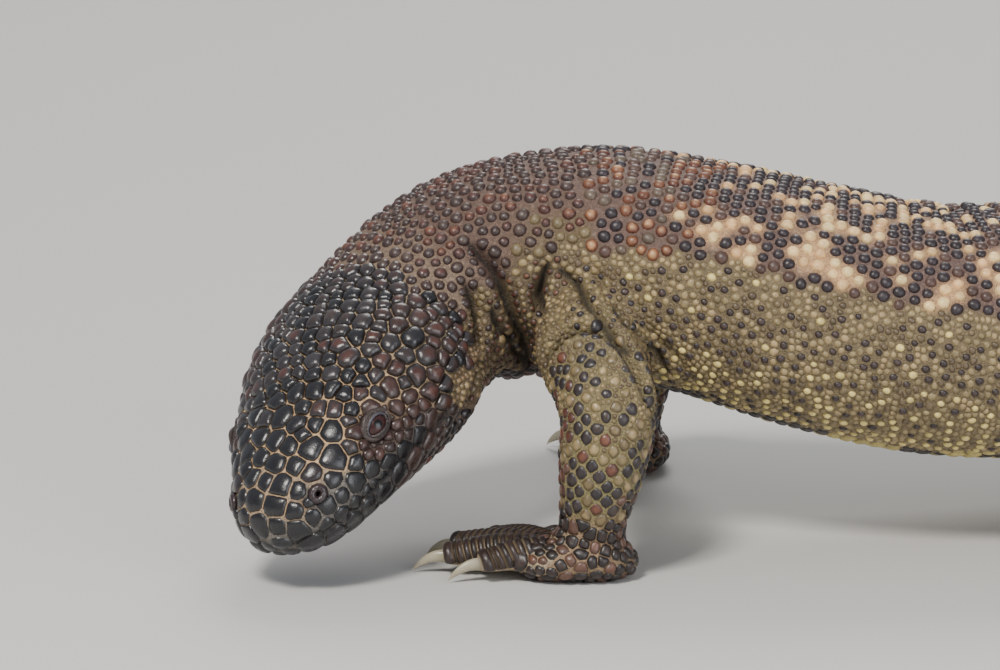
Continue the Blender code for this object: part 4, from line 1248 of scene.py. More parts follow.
class Painter:
    """The scales' colours in the making: each one's own, its middle's and that of the skin round it."""

    def __init__(self, seeds):
        self.seeds = seeds
        self.tint, self.rim, self.centre = np.zeros((3, len(seeds.at), 3))
        self.luck = RANDOM.random((len(seeds.at), 4))
        self.broad = noises(seeds.at, 0.075, 3.0)
        self.fine = noises(seeds.at, 0.22, 11.0)
        self.spots = noises(seeds.at, 0.33, 23.0)
        self.height = np.degrees(np.arcsin(np.clip(np.sin(seeds.angle), -1, 1)))
        self.light = np.clip((-self.height - 4) / 40, 0, 1)

    def paint(self, mask, colour, edge, middle=None):
        """Gives the masked scales a colour, one for the skin at their edge and one for their middle."""
        middle = colour if middle is None else middle
        for target, value in ((self.tint, colour), (self.rim, edge), (self.centre, middle)):
            target[mask] = value[mask] if np.ndim(value) == 2 else value

    def granules(self, dark, middling, spread):
        """Granules' colours, from a dark one through a middling one to tan."""
        dull = np.clip(0.42 + spread * self.fine + spread * (self.luck[:, 1] - 0.5), 0, 1)
        return blend(blend(dark, middling, np.clip(dull * 2, 0, 1)), SKIN_TAN, np.clip(dull * 2 - 1, 0, 1))

    def head(self):
        s, kind, luck, height, paint = self.seeds.s, self.seeds.kind, self.luck, self.height, self.paint
        face = np.isin(kind, (HEAD, BROW, LABIAL, GRANULE, LUMP))
        groove = blend(TAN_GROOVE, GREY_GROOVE, np.clip((s - 26 + 9 * self.broad) / 24, 0, 1))
        groove = blend(LIP_GROOVE, groove, np.clip(height / 22 + (s > 34), 0, 1))
        paint(face, BLACK, groove)
        crown = face & (s > 22) & (luck[:, 1] < np.clip((s - 22) / 20, 0, 0.8))
        paint(crown, SLATE, groove, blend(SLATE, HEAD_BROWN, luck[:, 3]))
        warm = face & (height < 64) & (s > 30) & (s < 66) & (luck[:, 2] < 0.62)
        paint(warm, blend(SLATE, HEAD_BROWN, 0.5), groove,
              blend(HEAD_BROWN, RED_BROWN, 0.1 + 0.7 * luck[:, 3]))
        warm = crown & (luck[:, 2] < 0.16)
        paint(warm, SLATE, groove, blend(HEAD_BROWN, RED_BROWN, 0.6 * luck[:, 3]))
        nose = (kind == HEAD) & (s > 8.5) & (s < 11) & (height < 55)
        paint(nose, blend(BLACK, HEAD_BROWN, 0.3), groove)
        paint(kind == BROW, HEAD_BROWN * 0.8, groove, blend(HEAD_BROWN, RED_BROWN, 0.3))
        lump_skin = blend(HEAD_BROWN, NECK_GREY, 0.3)
        paint(kind == LUMP, HEAD_BROWN, lump_skin, blend(HEAD_BROWN, RED_BROWN, 0.2 + 0.3 * luck[:, 3]))
        paint((kind == LUMP) & (s < 14), BLACK, HEAD_BROWN)
        paint(kind == GRANULE, blend(HEAD_BROWN, NECK_GREY, 0.25 * luck[:, 1]), HEAD_BROWN)
        lips = kind == LABIAL
        paint(lips, BLACK * 0.8, LIP_GROOVE)
        paint(lips & (s > 24) & (luck[:, 1] < 0.1 + (s - 24) / 12), HEAD_BROWN, LIP_GROOVE)
        chin = kind == CHIN
        chin_skin = blend(NECK_SKIN, LIP_GROOVE, np.clip(1 - s / 60, 0, 1))
        paint(chin, blend(HEAD_BROWN, BLACK, luck[:, 1]), chin_skin)
        paint(chin & (s < 30), BLACK, LIP_GROOVE * 0.7)
        paint(chin & (s > 34) & (luck[:, 2] < 0.3), RED_BROWN, NECK_SKIN)

    def neck(self):
        s, luck, paint = self.seeds.s, self.luck, self.paint
        neck = self.seeds.kind == NECK
        lower = np.clip((s - 84) / 22, 0, 1) * np.clip((46 - self.height) / 30, 0, 1)
        skin = blend(NECK_SKIN, GREY_GROOVE, np.clip((80 - s) / 14, 0, 0.3))
        skin = blend(skin, SHOULDER_SKIN, lower)
        paint(neck, NECK_BEAD, skin, blend(NECK_BEAD, NECK_GREY, luck[:, 3] * 0.5))
        paint(neck & (luck[:, 1] < 0.34), NECK_BEAD, skin, blend(NECK_BEAD, RED_BROWN, 0.8))
        patch = self.broad + 0.6 * self.fine + 0.5 * (luck[:, 3] - 0.5) > 0.12
        warm = neck & patch & (s > 72) & (luck[:, 2] < 0.6)
        paint(warm, blend(NECK_BEAD, RED_BROWN, 0.5), skin, blend(RED_BROWN, NECK_ORANGE, luck[:, 3]))
        paint(neck & (luck[:, 2] > 0.6) & (lower > 0.3), blend(OLIVE, NECK_BEAD, 0.4), skin)

    def back(self):
        """Dark beads with pale patches, which begin behind the shoulders."""
        s, luck, height, paint = self.seeds.s, self.luck, self.height, self.paint
        back = self.seeds.kind == BACK
        inside = pale_patches(self.seeds) + 0.5 * (luck[:, 2] - 0.5) > 0.1
        ripe = np.clip((s - 118) / 34, 0, 1)
        paint(back, BACK_BEAD, BACK_SKIN)
        paint(back & (luck[:, 1] < 0.28), BACK_BROWN, BACK_SKIN, blend(BACK_BROWN, BACK_BEAD, 0.3))
        pale = back & inside & (ripe > 0.3)
        rarity = 0.37 - 0.16 * np.clip((height - 25) / 40, 0, 1) * ripe
        scattered = back & (self.spots + 0.35 * (luck[:, 2] - 0.5) > rarity) & (ripe > 0.3)
        pale_colour = blend(CREAM, PEACH, np.clip(0.45 + 1.7 * self.fine + 0.3 * (1 - ripe), 0, 1))
        paint(pale | scattered, pale_colour, blend(BACK_SKIN, PEACH, 0.5))
        shoulder = back & (s < 138) & ~pale & (luck[:, 3] < 0.36)
        paint(shoulder, blend(RED_BROWN, NECK_ORANGE, luck[:, 1]), NECK_SKIN,
              blend(NECK_ORANGE, PEACH, 0.5 * luck[:, 0]))
        paint(back & (s < 130) & (luck[:, 3] > 0.7), NECK_GREY, blend(NECK_SKIN, BACK_SKIN, 0.5))

    def tail(self):
        """Dark beads with pale bands."""
        s, luck, paint = self.seeds.s, self.luck, self.paint
        tail = self.seeds.kind == TAIL
        paint(tail, BACK_BEAD, BACK_SKIN)
        paint(tail & (luck[:, 1] < 0.22), BACK_BROWN, BACK_SKIN)
        band = np.cos((s - TAIL_BAND) / TAIL_BAND_PITCH * TURN)
        band = band + 0.55 * self.broad + 0.5 * self.fine + 0.5 * (luck[:, 2] - 0.5)
        pale_colour = blend(CREAM, PEACH, np.clip(0.2 + self.fine, 0, 0.7))
        paint(tail & (band > 0.42), pale_colour, blend(BACK_SKIN, CREAM, 0.42))

    def flank(self):
        """Olive granules with dark ovals, yellower and paler towards the belly."""
        s, kind, luck, paint = self.seeds.s, self.seeds.kind, self.luck, self.paint
        on_neck = np.clip((TRUNK_START + 10 - s) / 24, 0, 1)
        skin = blend(blend(FLANK_SKIN, OLIVE, 0.35 * self.light), SKIN_UMBER, 0.6 * on_neck)
        grain = blend(self.granules(SKIN_UMBER, OLIVE, 0.9), PALE_OLIVE, 0.35 * self.light * luck[:, 3])
        rust = np.clip((96 - s) / 16, 0, 1) * np.clip(0.55 + 1.2 * self.broad, 0, 1)
        grain = blend(grain, blend(NECK_ORANGE, SKIN_TAN, 0.3 + 0.5 * luck[:, 2]), 0.65 * rust)
        grain = grain * (1 - 0.22 * np.clip((92 - s) / 16, 0, 1))[:, None]
        paint(kind == FLANK, grain, skin, blend(grain, SKIN_TAN, 0.2))
        ovals = kind == FLANK_OVAL
        paint(ovals, DARK_OVAL, skin, blend(DARK_OVAL, BACK_BROWN, 0.3 + luck[:, 3] * 0.5))
        paint(ovals & (self.height > 2) & (luck[:, 2] < 0.62), grain, skin)
        yellow = ovals & (luck[:, 1] < 0.06 + 1.1 * np.clip(self.light - 0.1, 0, 0.6)) & (s > TRUNK_START)
        paint(yellow, YELLOW, skin, blend(YELLOW, CREAM, 0.5))
        warm = ovals & (s < TRUNK_START + 8) & (luck[:, 1] < 0.75)
        paint(warm, blend(NECK_BEAD, SKIN_UMBER, luck[:, 0]), skin, blend(RED_BROWN, NECK_ORANGE, luck[:, 3]))
        belly = kind == BELLY
        paint(belly, YELLOW * 0.75, FLANK_SKIN)
        paint(belly & (self.broad + 0.3 * self.fine > 0.06), DARK_OVAL, FLANK_SKIN)

    def legs(self):
        """Olive granules above the elbow, and dark, tan and red ovals down to the foot."""
        kind, luck, paint = self.seeds.kind, self.luck, self.paint
        length = np.array([leg.loft.length for leg in LEGS])[np.maximum(self.seeds.limb, 0).astype(int)]
        down = np.clip(self.seeds.s / length, 0, 1)
        skin = blend(FLANK_SKIN, LEG_SKIN, np.clip((down - 0.3) / 0.3, 0, 1))
        grain = self.granules(LEG_BROWN, LEG_OLIVE, 0.8)
        paint(kind == LIMB, grain, skin)
        ovals = kind == LIMB_OVAL
        wrist = np.clip((down - 0.72) / 0.25, 0, 1)
        front = np.clip(1.6 - np.abs((np.degrees(self.seeds.angle) - 98) / 30), 0, 1)
        paint(ovals, DARK_OVAL, skin, blend(DARK_OVAL, LEG_BROWN, 0.35 * luck[:, 3]))
        tan = ovals & (luck[:, 2] + 0.5 * self.fine < 0.44)
        paint(tan, blend(LEG_BROWN, LEG_OLIVE, luck[:, 3]), skin,
              blend(LEG_OLIVE, SKIN_TAN, 0.2 + 0.8 * luck[:, 0]))
        warm = ovals & (luck[:, 1] < 0.03 + 0.25 * wrist + 0.32 * front * (down > ELBOW_COLOUR))
        paint(warm, blend(HEAD_BROWN, RED_BROWN, luck[:, 3]), skin, blend(RED_BROWN, NECK_ORANGE, luck[:, 3]))
        paint(ovals & (down < ELBOW_COLOUR) & (tan | (luck[:, 1] < 0.45)), grain, skin)
        foot = kind == FOOT
        paint(foot, FOOT_DARK, FOOT_SKIN, blend(FOOT_DARK, FOOT_BROWN, luck[:, 3] * 0.5))
        paint(foot & (luck[:, 1] < 0.4), FOOT_BROWN, FOOT_SKIN,
              blend(FOOT_BROWN, NECK_ORANGE, 0.5 * luck[:, 3]))


def body_colours(seeds):
    """Each scale's colour, its centre's and the colour of the skin round it, by where it lies."""
    painter = Painter(seeds)
    painter.head()
    painter.neck()
    painter.back()
    painter.tail()
    painter.flank()
    painter.legs()
    # Each scale's tone varies at random, and scales near a crease are darkened: painted shade in the crease.
    shade = (0.82 + 0.36 * painter.luck[:, 0]) * (1 - 0.5 * np.exp(-(seeds.crease / 1.3) ** 2))
    return painter.tint * shade[:, None], painter.centre * shade[:, None], painter.rim


def skin_colour(points, crease, seeds, rim):
    """The bare skin's colour between the scales, from that round the scales nearby and the toes' own, with
    painted shade in the creases and a painted shadow along the mouth.
    """
    tree = kd_tree(seeds.at)
    colour = np.zeros((len(points), 3))
    for k, p in enumerate(points.tolist()):
        hits = tree.find_n(p, 3)
        weight = [1 / (0.4 + hit[2]) for hit in hits]
        colour[k] = sum(w * rim[hit[1]] for w, hit in zip(weight, hits)) / sum(weight)
    # Painted shade: the skin darkens towards the middle of each crease.
    colour *= 1 - 0.85 * np.exp(-(crease / 0.7) ** 2)[:, None]
    # Painted shadow: a dark band blended into the skin along the mouth's slit.
    for line in mouth_lines():
        near = near_line(points, line, 5)
        slit = np.exp(-(distance_to_line(points[near], line) / 1.7) ** 2)
        colour[near] = blend(colour[near], BLACK * 0.6, slit)
    on_foot = np.zeros(len(points), bool)
    for leg in LEGS:
        for loft in [leg.foot.palm, *leg.foot.toes]:
            rows = loft.at(np.linspace(0, loft.length, 12))
            near = np.linalg.norm(points[:, None] - rows[None, :, :3], axis=2).min(1) < 8
            near &= points[:, 2] < 10
            colour[near] = FOOT_SKIN * 0.7 if loft is leg.foot.palm else BAND_EDGE * 0.6
            on_foot |= near
    colour[on_foot & (points[:, 2] < 1.2)] = FOOT_BROWN
    return colour


def ring_radii(seeds, index, near, corners, groove, largest, sharpness):
    """How far each scale reaches towards each of its corners before it meets a neighbour."""
    at, normal, along = seeds.at[index], seeds.normal[index], seeds.along[index]
    along = unit(along - normal * (along * normal).sum(1, keepdims=True))
    across = np.cross(normal, along)
    phi = np.arange(corners) * TURN / corners
    turn = phi[None] + RANDOM.random((len(index), 1)) * TURN / corners
    ways = np.cos(turn)[..., None] * along[:, None] + np.sin(turn)[..., None] * across[:, None]
    offset = seeds.at[near] - at[:, None]
    offset = offset - (offset * normal[:, None]).sum(2, keepdims=True) * normal[:, None]
    mean = seeds.wide.mean(1)
    share = mean[index][:, None] / (mean[index][:, None] + mean[near])
    towards = np.einsum("nkc,nmc->nkm", ways, offset)
    squares = (offset**2).sum(2)
    reach = np.where(towards > 1e-4, (share * squares)[:, None] / np.maximum(towards, 1e-4), 1e3)
    wide = seeds.wide[index]
    limit = largest / np.sqrt((np.cos(turn) / wide[:, :1]) ** 2 + (np.sin(turn) / wide[:, 1:]) ** 2)
    over_the_slit = seeds.lip[index][:, None] * seeds.lip[near] < 0
    reach = reach - np.where(over_the_slit, LIP_GAP, 0.0)[:, None]
    total = (np.minimum(1.0 / np.maximum(reach, 1e-3), 1e3) ** sharpness).sum(2) + limit**-sharpness
    radius = total ** (-1 / sharpness) - groove
    radius *= 1 + RANDOM.normal(0, 0.015, radius.shape)
    return np.maximum(radius, 0.25), ways, turn, at, normal


def unwrap(seeds, index):
    """Each scale's place on an unwrap of the skin: the body's length and girth, and a strip a leg."""
    s, angle, limb = seeds.s[index], seeds.angle[index] % TURN, seeds.limb[index]
    body = np.stack([0.02 + 0.56 * angle / TURN, 0.02 + 0.96 * s / BODY.length], -1)
    foot = seeds.kind[index] == FOOT
    legs = np.stack([0.62 + 0.095 * limb + 0.085 * angle / TURN,
                     np.where(foot, 0.55 + s * 0.008, 0.02 + s * 0.006)], -1)
    return np.where((limb < 0)[:, None], body, legs)


def scale_mesh(seeds, near_all, skin, index, kind, tint, centre, rim):
    """One kind's scales in one piece of mesh: points, faces, colours and places on the unwrap."""
    corners, groove, largest, height, sharpness, section = SHAPES[kind]
    radius, ways, turn, at, normal = ring_radii(seeds, index, near_all[index], corners, groove, largest,
                                                sharpness)
    count = len(index)
    size = radius.mean(1)
    level = ways * radius[..., None]
    foot, _, _ = skin.settle((at[:, None] + level).reshape(-1, 3))
    reach = foot.reshape(count, corners, 3) - at[:, None]
    sag = np.clip((reach * normal[:, None]).sum(2), -1.2, 0.35)
    tall = height * np.clip(size / seeds.wide[index].mean(1), 0.55, 1.1) * (0.9 + 0.2 * RANDOM.random(count))
    if kind == HEAD:
        tall = tall * np.interp(seeds.s[index], *zip(*HEAD_HEIGHTS))
    tall = np.minimum(tall, 0.72 * size + 0.1)
    rings = []
    for f, h in section:
        rise = f**2 * sag + np.where(h > 0, h, h / height) * tall[:, None] - SCALE_SUNK
        rings.append(at[:, None] + level * f + normal[:, None] * rise[..., None])
    top = at + normal * (tall * 1.02 - SCALE_SUNK)[:, None]
    points = np.concatenate([np.stack(rings, 1).reshape(count, -1, 3), top[:, None]], 1)
    per = points.shape[1]
    j = np.arange(corners)
    base = (len(section) - 1) * corners
    caps = np.stack([np.full(corners, per - 1), base + j, base + (j + 1) % corners, np.full(corners, -1)], -1)
    pattern = np.vstack([grid_faces(len(section), corners), caps])
    faces = pattern[None] + (np.arange(count) * per)[:, None, None]
    faces = np.where(pattern[None] >= 0, faces, -1).reshape(-1, 4)

    colours = []
    for row, (f, _) in enumerate(section):
        inner = np.clip((0.78 - f) / 0.5, 0, 1)
        share = EDGE_SHARE[row] if row < len(EDGE_SHARE) else 0.0
        ring = blend(tint[index], centre[index], np.full(count, inner))
        ring = blend(ring, rim[index], np.full(count, share))
        colours.append(np.repeat(ring[:, None], corners, 1))
    colours = np.concatenate(colours + [centre[index][:, None]], 1)
    spread = [np.stack([np.cos(turn), np.sin(turn)], -1) * 0.0015 * f for f, _ in section]
    spread = np.concatenate(spread + [np.zeros((count, 1, 2))], 1)
    uv = unwrap(seeds, index)[:, None] + spread
    points = points.reshape(-1, 3)
    points[:, 2] = np.maximum(points[:, 2], 0.0)
    return points, faces, colours.reshape(-1, 3), uv.reshape(-1, 2)


def finish_piece(name, parts, material):
    """One object from parts of points, faces, colours and unwrap places."""
    faces = []
    count = 0
    for points, corners, _, _ in parts:
        faces.append(np.where(corners >= 0, corners + count, -1))
        count += len(points)
    obj = new_mesh(name, np.vstack([part[0] for part in parts]), np.vstack(faces))
    set_colours(obj, np.vstack([part[2] for part in parts]))
    uv = np.vstack([part[3] for part in parts])
    mesh = obj.data
    corner = np.zeros(len(mesh.loops), np.int32)
    mesh.loops.foreach_get("vertex_index", corner)
    layer = mesh.uv_layers.new(name="OFBake")
    layer.data.foreach_set("uv", uv[corner].astype(np.float32).ravel())
    dress(obj, material)


def set_colours(obj, colours):
    """Stores a colour at each point, for the material to read."""
    mesh = obj.data
    layer = mesh.attributes.new("Tint", "FLOAT_COLOR", "POINT")
    four = np.ones((len(mesh.vertices), 4), np.float32)
    four[:, :3] = np.clip(colours, 0, 1)
    layer.data.foreach_set("color", four.ravel())


def dress(obj, material):
    obj.data.materials.clear()
    obj.data.materials.append(material)
    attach(obj, "root")


class Nodes:
    """A material and short ways to add its nodes."""

    def __init__(self, name):
        self.material = bpy.data.materials.new(name)
        self.material.use_nodes = True
        self.tree = self.material.node_tree
        self.shader = self.tree.nodes["Principled BSDF"]

    def add(self, kind, **settings):
        node = self.tree.nodes.new(kind)
        for key, value in settings.items():
            setattr(node, key, value)
        return node

    def link(self, output, socket):
        self.tree.links.new(output, socket)

    def value(self, socket, value):
        self.shader.inputs[socket].default_value = value

    def noise(self, scale, detail=4.0, roughness=0.55):
        """Noise over the object's own space, with the scale in waves a metre."""
        place = self.add("ShaderNodeTexCoord")
        node = self.add("ShaderNodeTexNoise")
        node.inputs["Scale"].default_value = scale
        node.inputs["Detail"].default_value = detail
        node.inputs["Roughness"].default_value = roughness
        self.link(place.outputs["Object"], node.inputs["Vector"])
        return node.outputs["Fac"]

    def ranged(self, source, low, high, out_low, out_high):
        """A value moved from one range to another."""
        node = self.add("ShaderNodeMapRange")
        ends = {"From Min": low, "From Max": high, "To Min": out_low, "To Max": out_high}
        for socket, value in ends.items():
            node.inputs[socket].default_value = value
        self.link(source, node.inputs["Value"])
        return node.outputs["Result"]

    def arithmetic(self, operation, first, second):
        node = self.add("ShaderNodeMath", operation=operation)
        for socket, value in zip(node.inputs, (first, second)):
            if isinstance(value, float):
                socket.default_value = value
            else:
                self.link(value, socket)
        return node.outputs[0]

    def sum(self, first, second):
        return self.arithmetic("ADD", first, second)

    def times(self, first, second):
        return self.arithmetic("MULTIPLY", first, second)

    def bump(self, source, strength, distance):
        node = self.add("ShaderNodeBump")
        node.inputs["Strength"].default_value = strength
        node.inputs["Distance"].default_value = distance
        self.link(source, node.inputs["Height"])
        self.link(node.outputs["Normal"], self.shader.inputs["Normal"])


def tinted(name, roughness, spread, bump, mottling=0.22, coat=0.0, cells=0.0, cracks=0.0):
    """A material that takes its colour from the points, mottled and pitted by fine noise.

    cells is the number of wrinkled cells to a metre, and cracks how much paler their edges are.
    """
    nodes = Nodes(name)
    tint = nodes.add("ShaderNodeAttribute", attribute_name="Tint")
    cloud = nodes.noise(1100.0)
    amount = nodes.ranged(cloud, 0.25, 0.75, 1 - mottling, 1 + mottling)
    height = nodes.noise(2400.0, 3.0)
    if cells:
        place = nodes.add("ShaderNodeTexCoord")
        edge = nodes.add("ShaderNodeTexVoronoi", feature="DISTANCE_TO_EDGE")
        edge.inputs["Scale"].default_value = cells
        nodes.link(place.outputs["Object"], edge.inputs["Vector"])
        wall = nodes.ranged(edge.outputs["Distance"], 0.0, 0.22, 1.0, 0.0)
        amount = nodes.sum(amount, nodes.times(wall, cracks))
        height = nodes.sum(nodes.times(height, 0.5), nodes.times(wall, -0.8))
    mix = nodes.add("ShaderNodeVectorMath", operation="SCALE")
    nodes.link(tint.outputs["Color"], mix.inputs[0])
    nodes.link(amount, mix.inputs["Scale"])
    nodes.link(mix.outputs["Vector"], nodes.shader.inputs["Base Color"])
    gloss = nodes.noise(500.0)
    nodes.link(nodes.ranged(gloss, 0.3, 0.7, roughness - spread, roughness + spread),
               nodes.shader.inputs["Roughness"])
    nodes.bump(height, bump, 0.00014)
    nodes.value("Coat Weight", coat)
    nodes.value("Coat Roughness", 0.22)
    return nodes.material


MATERIALS = {
    "head": tinted("head_plates", 0.30, 0.08, 0.45, 0.22, 0.3),
    "beads": tinted("beaded_skin", 0.42, 0.10, 0.6, 0.26, 0.1),
    "legs": tinted("leg_skin", 0.40, 0.10, 0.6, 0.26, 0.15),
    "skin": tinted("bare_skin", 0.66, 0.08, 1.0, 0.3, 0.0, 1700.0, 0.7),
    "lids": tinted("lid_skin", 0.44, 0.08, 0.9, 0.3, 0.15, 1300.0, 0.1),
}


def eye_height(r):
    """The eyeball's height over the head's outline at a distance from the eye's middle."""
    return -EYE_SUNK - 0.12 + np.sqrt(np.maximum(EYE_RADIUS**2 - r**2, 0.0))


def ring_of(spot, normal, ahead, high, turn, reach, height):
    """Points round an opening at given distances from its middle and heights over the head."""
    return (spot + np.outer(np.cos(turn) * reach, ahead) + np.outer(np.sin(turn) * reach, high)
            + np.outer(height, normal))


def soft_piece(name, rings, colours, material, thickness):
    """A thin sheet of closed rings with a little thickness."""
    obj = new_mesh(name, np.concatenate(rings), grid_faces(len(rings), len(rings[0])))
    set_colours(obj, np.concatenate(colours))
    dress(obj, material)
    thick = obj.modifiers.new("thickness", "SOLIDIFY")
    thick.thickness = thickness
    thick.offset = -1


def make_lids(name, spot, normal, ahead, high):
    """Both lids as one soft ring round an opening pointed at its front and back."""
    turn = np.arange(96) * TURN / 96
    corner = np.abs(np.cos(turn)) ** 1.5
    long, tall = LID_OPENING
    opening = 1 / np.sqrt((np.cos(turn) / long) ** 2 + (np.sin(turn) / tall) ** 2)
    long, above, below = LID_OUTLINE
    tall = np.where(np.sin(turn) > 0, above, below)
    outer = 1 / np.sqrt((np.cos(turn) / long) ** 2 + (np.sin(turn) / tall) ** 2)
    edge_height = eye_height(opening) + 0.14
    wave = np.sin(turn * 11 + 2.2 * np.sin(turn * 2 + 0.6)) * 0.5 + 0.5 * np.sin(turn * 23 + 1.0)
    # Round the opening the lower rim carries a painted reflection of the sky, and the upper rim stays dark.
    rim = blend(LOWER_LID_RIM_SHEEN, UPPER_LID_RIM, np.clip(np.sin(turn) * 2 + 0.5, 0, 1))
    rings = []
    colours = []
    for share, over_edge, over_outline, wrinkle in LID_PROFILE:
        if over_outline is None:
            height = edge_height + over_edge
        else:
            height = over_outline + 0.15 * (1 - corner) * (1 - share)
        reach = opening + (outer - opening) * share
        rings.append(ring_of(spot, normal, ahead, high, turn, reach, height + wave * wrinkle))
        tone = blend(rim, np.broadcast_to(LID, rim.shape), np.full(len(turn), np.clip(share * 5 - 0.1, 0, 1)))
        # Painted light and shade: the wave that lifts the wrinkles also makes their ridges lighter and their
        # furrows darker.
        colours.append(tone * (1 + 0.22 * wave[:, None] * min(1.0, share * 4)))
    soft_piece(name, rings, colours, MATERIALS["lids"], 0.0002)


def make_eye(side, name):
    """An eyeball with a dark red-brown iris and a round pupil, and its lids."""
    spot, normal, ahead, high = opening_frame(EYE_FORWARD, EYE_UP, side)
    around = 56
    tilt = np.linspace(0.02, math.pi - 0.02, 40)
    turn = np.arange(around) * TURN / around
    radius = EYE_RADIUS * 0.985
    centre = spot - normal * (EYE_SUNK + 0.12)
    points = (centre + (radius * np.cos(tilt))[:, None, None] * normal
              + (radius * np.sin(tilt))[:, None, None]
              * (np.cos(turn)[None, :, None] * ahead + np.sin(turn)[None, :, None] * high))
    eye = new_mesh(name, *closed_rings(points))
    streak = 0.8 + 0.2 * np.sin(turn * 17 + np.sin(turn * 5))
    colours = []
    for angle in tilt:
        if angle < PUPIL_EDGE:
            ring = np.broadcast_to(PUPIL, (around, 3))
        elif angle < IRIS_EDGE:
            ring = IRIS[None] * streak[:, None] * (1.2 if angle < PUPIL_EDGE + 0.08 else 1.0)
        elif angle < IRIS_EDGE + 0.08:
            ring = np.broadcast_to(IRIS_RIM, (around, 3))
        else:
            ring = np.broadcast_to(EYE_WHITE, (around, 3))
        colours.append(ring)
    set_colours(eye, np.concatenate(colours + [PUPIL[None], EYE_WHITE[None]]))
    dress(eye, tinted(name + "_glass", 0.24, 0.02, 0.0, 0.1, 0.05))
    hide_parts(name)
    make_lids(name.replace("eye", "lids"), spot, normal, ahead, high)


def make_nostril(side, name):
    """A nostril's soft rim, painted near black inside as shade in its hollow."""
    spot, normal, ahead, high = opening_frame(NOSTRIL_FORWARD, NOSTRIL_UP, side)
    turn = np.arange(72) * TURN / 72
    wave = np.sin(turn * 2 + 2.2 * np.sin(turn * 2 + 0.6)) * 0.5 + 0.4 * np.sin(turn * 7 + 1.0)
    last = len(NOSTRIL_PROFILE) - 1
    rings = []
    colours = []
    for k, (r, height) in enumerate(NOSTRIL_PROFILE):
        wrinkle = 0.05 * min(1.0, k / 3) if k < last else 0.0
        wide = r * (1 + 0.2 * np.exp(-max(0.0, r - NOSTRIL_PROFILE[0][0]) * 0.35))
        rings.append(spot + np.outer(np.cos(turn) * wide, ahead) + np.outer(np.sin(turn) * r, high)
                     + np.outer(height + wave * wrinkle, normal))
        tone = blend(NOSTRIL_INSIDE_SHADE, NOSTRIL_RIM, np.full(len(turn), min(1.0, k / last * 3)))
        # Painted light and shade: the wave that raises the wrinkles also makes their ridges lighter and their
        # furrows darker.
        colours.append(tone * (1 + wave[:, None] * 0.25))
    soft_piece(name, rings, colours, MATERIALS["head"], 0.00035)


def band_mesh(toe, low, high, profile, angle, base, corner):
    """One band across a toe: points, faces, colours and unwrap places."""
    fall = np.clip(np.minimum(angle - angle[0], angle[-1] - angle) / 0.3, 0, 1) ** 0.5
    lean = 0.5 * np.sin(angle) - 0.25
    rows = []
    colours = []
    for f, h in profile:
        lift = -0.6 + (h + 0.6) * fall
        s = np.clip(low + (high - low) * f + lean, 0, toe.length)
        rows.append(np.array([toe.surface(x, a, skin) for x, a, skin in zip(s, angle, lift)]))
        pale = 1.0 if h < -0.3 else (0.35 if h < 0 else 0.0)
        colours.append(np.broadcast_to(blend(base, BAND_EDGE, pale), rows[-1].shape))
    i, j = np.meshgrid(np.arange(len(profile) - 1), np.arange(len(angle) - 1), indexing="ij")
    a = i * len(angle) + j
    faces = np.stack([a, a + 1, a + len(angle) + 1, a + len(angle)], -1).reshape(-1, 4)
    u, v = corner
    uv = np.array([[u + 0.0015 * math.cos(x), v + 0.0015 * f] for f, _ in profile for x in angle])
    points = np.concatenate(rows)
    points[:, 2] = np.maximum(points[:, 2], 0.0)
    return points, faces, np.concatenate(colours), uv


def toe_bands(number, leg):
    """Each toe's bands: short raised plates across its top, one behind the other, and one at the claw."""
    parts = []
    angle = np.radians(np.linspace(-34, 214, 19))
    for k, toe in enumerate(leg.foot.toes):
        end = toe.knots[CLAW_ROOT_ROW] + 1.5
        start = end * 0.22
        count = max(7, int(round((end - start) / BAND_LENGTH)))
        edges = np.linspace(start, end, count + 1)
        edges[-2] -= 0.9
        for step, (low, high) in enumerate(zip(edges, edges[1:])):
            profile = LAST_BAND_PROFILE if step == count - 1 else BAND_PROFILE
            base = blend(FOOT_DARK, FOOT_BROWN, 0.3 * RANDOM.random()) * (0.7 + 0.4 * RANDOM.random())
            corner = (0.62 + 0.095 * number + 0.017 * k, 0.75 + 0.2 * low / end)
            parts.append(band_mesh(toe, low, high, profile, angle, base, corner))
    return parts


def make_claws(leg):
    """Each claw: a curved horn with a rounded root."""
    for number, loft in enumerate(leg.foot.claws, start=1):
        root = loft.knots[CLAW_ROOT_ROW]
        points, faces = rounded_tube(loft, root - 1.2, loft.length, 24, 0.35, -0.22, 0.5, 0.25)
        points[:, 2] = np.maximum(points[:, 2], 0.0)
        name = f"{leg.name}_claw_{number}"
        claw = new_mesh("horn_" + name, points, faces)
        along = np.linalg.norm(points - points[0], axis=1)
        t = np.clip(along / along.max(), 0, 1)
        colour = blend(CLAW_ROOT, CLAW_PALE, np.clip(t * 2.2, 0, 1))
        colour = blend(colour, CLAW_TIP, np.clip(t * 3 - 2, 0, 1))
        set_colours(claw, colour)
        dress(claw, MATERIALS["claw"])
        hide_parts(name)


def horn():
    """The claws' pale, faintly translucent horn."""
    nodes = Nodes("claw_horn")
    tint = nodes.add("ShaderNodeAttribute", attribute_name="Tint")
    nodes.link(tint.outputs["Color"], nodes.shader.inputs["Base Color"])
    nodes.value("Subsurface Weight", 0.25)
    nodes.value("Subsurface Radius", (0.0015, 0.0012, 0.0006))
    nodes.value("Subsurface Scale", 1.0)
    nodes.link(nodes.ranged(nodes.noise(500.0), 0.3, 0.7, 0.24, 0.4), nodes.shader.inputs["Roughness"])
    nodes.bump(nodes.noise(1500.0, 2.0), 0.15, 0.0001)
    return nodes.material


MATERIALS["claw"] = horn()


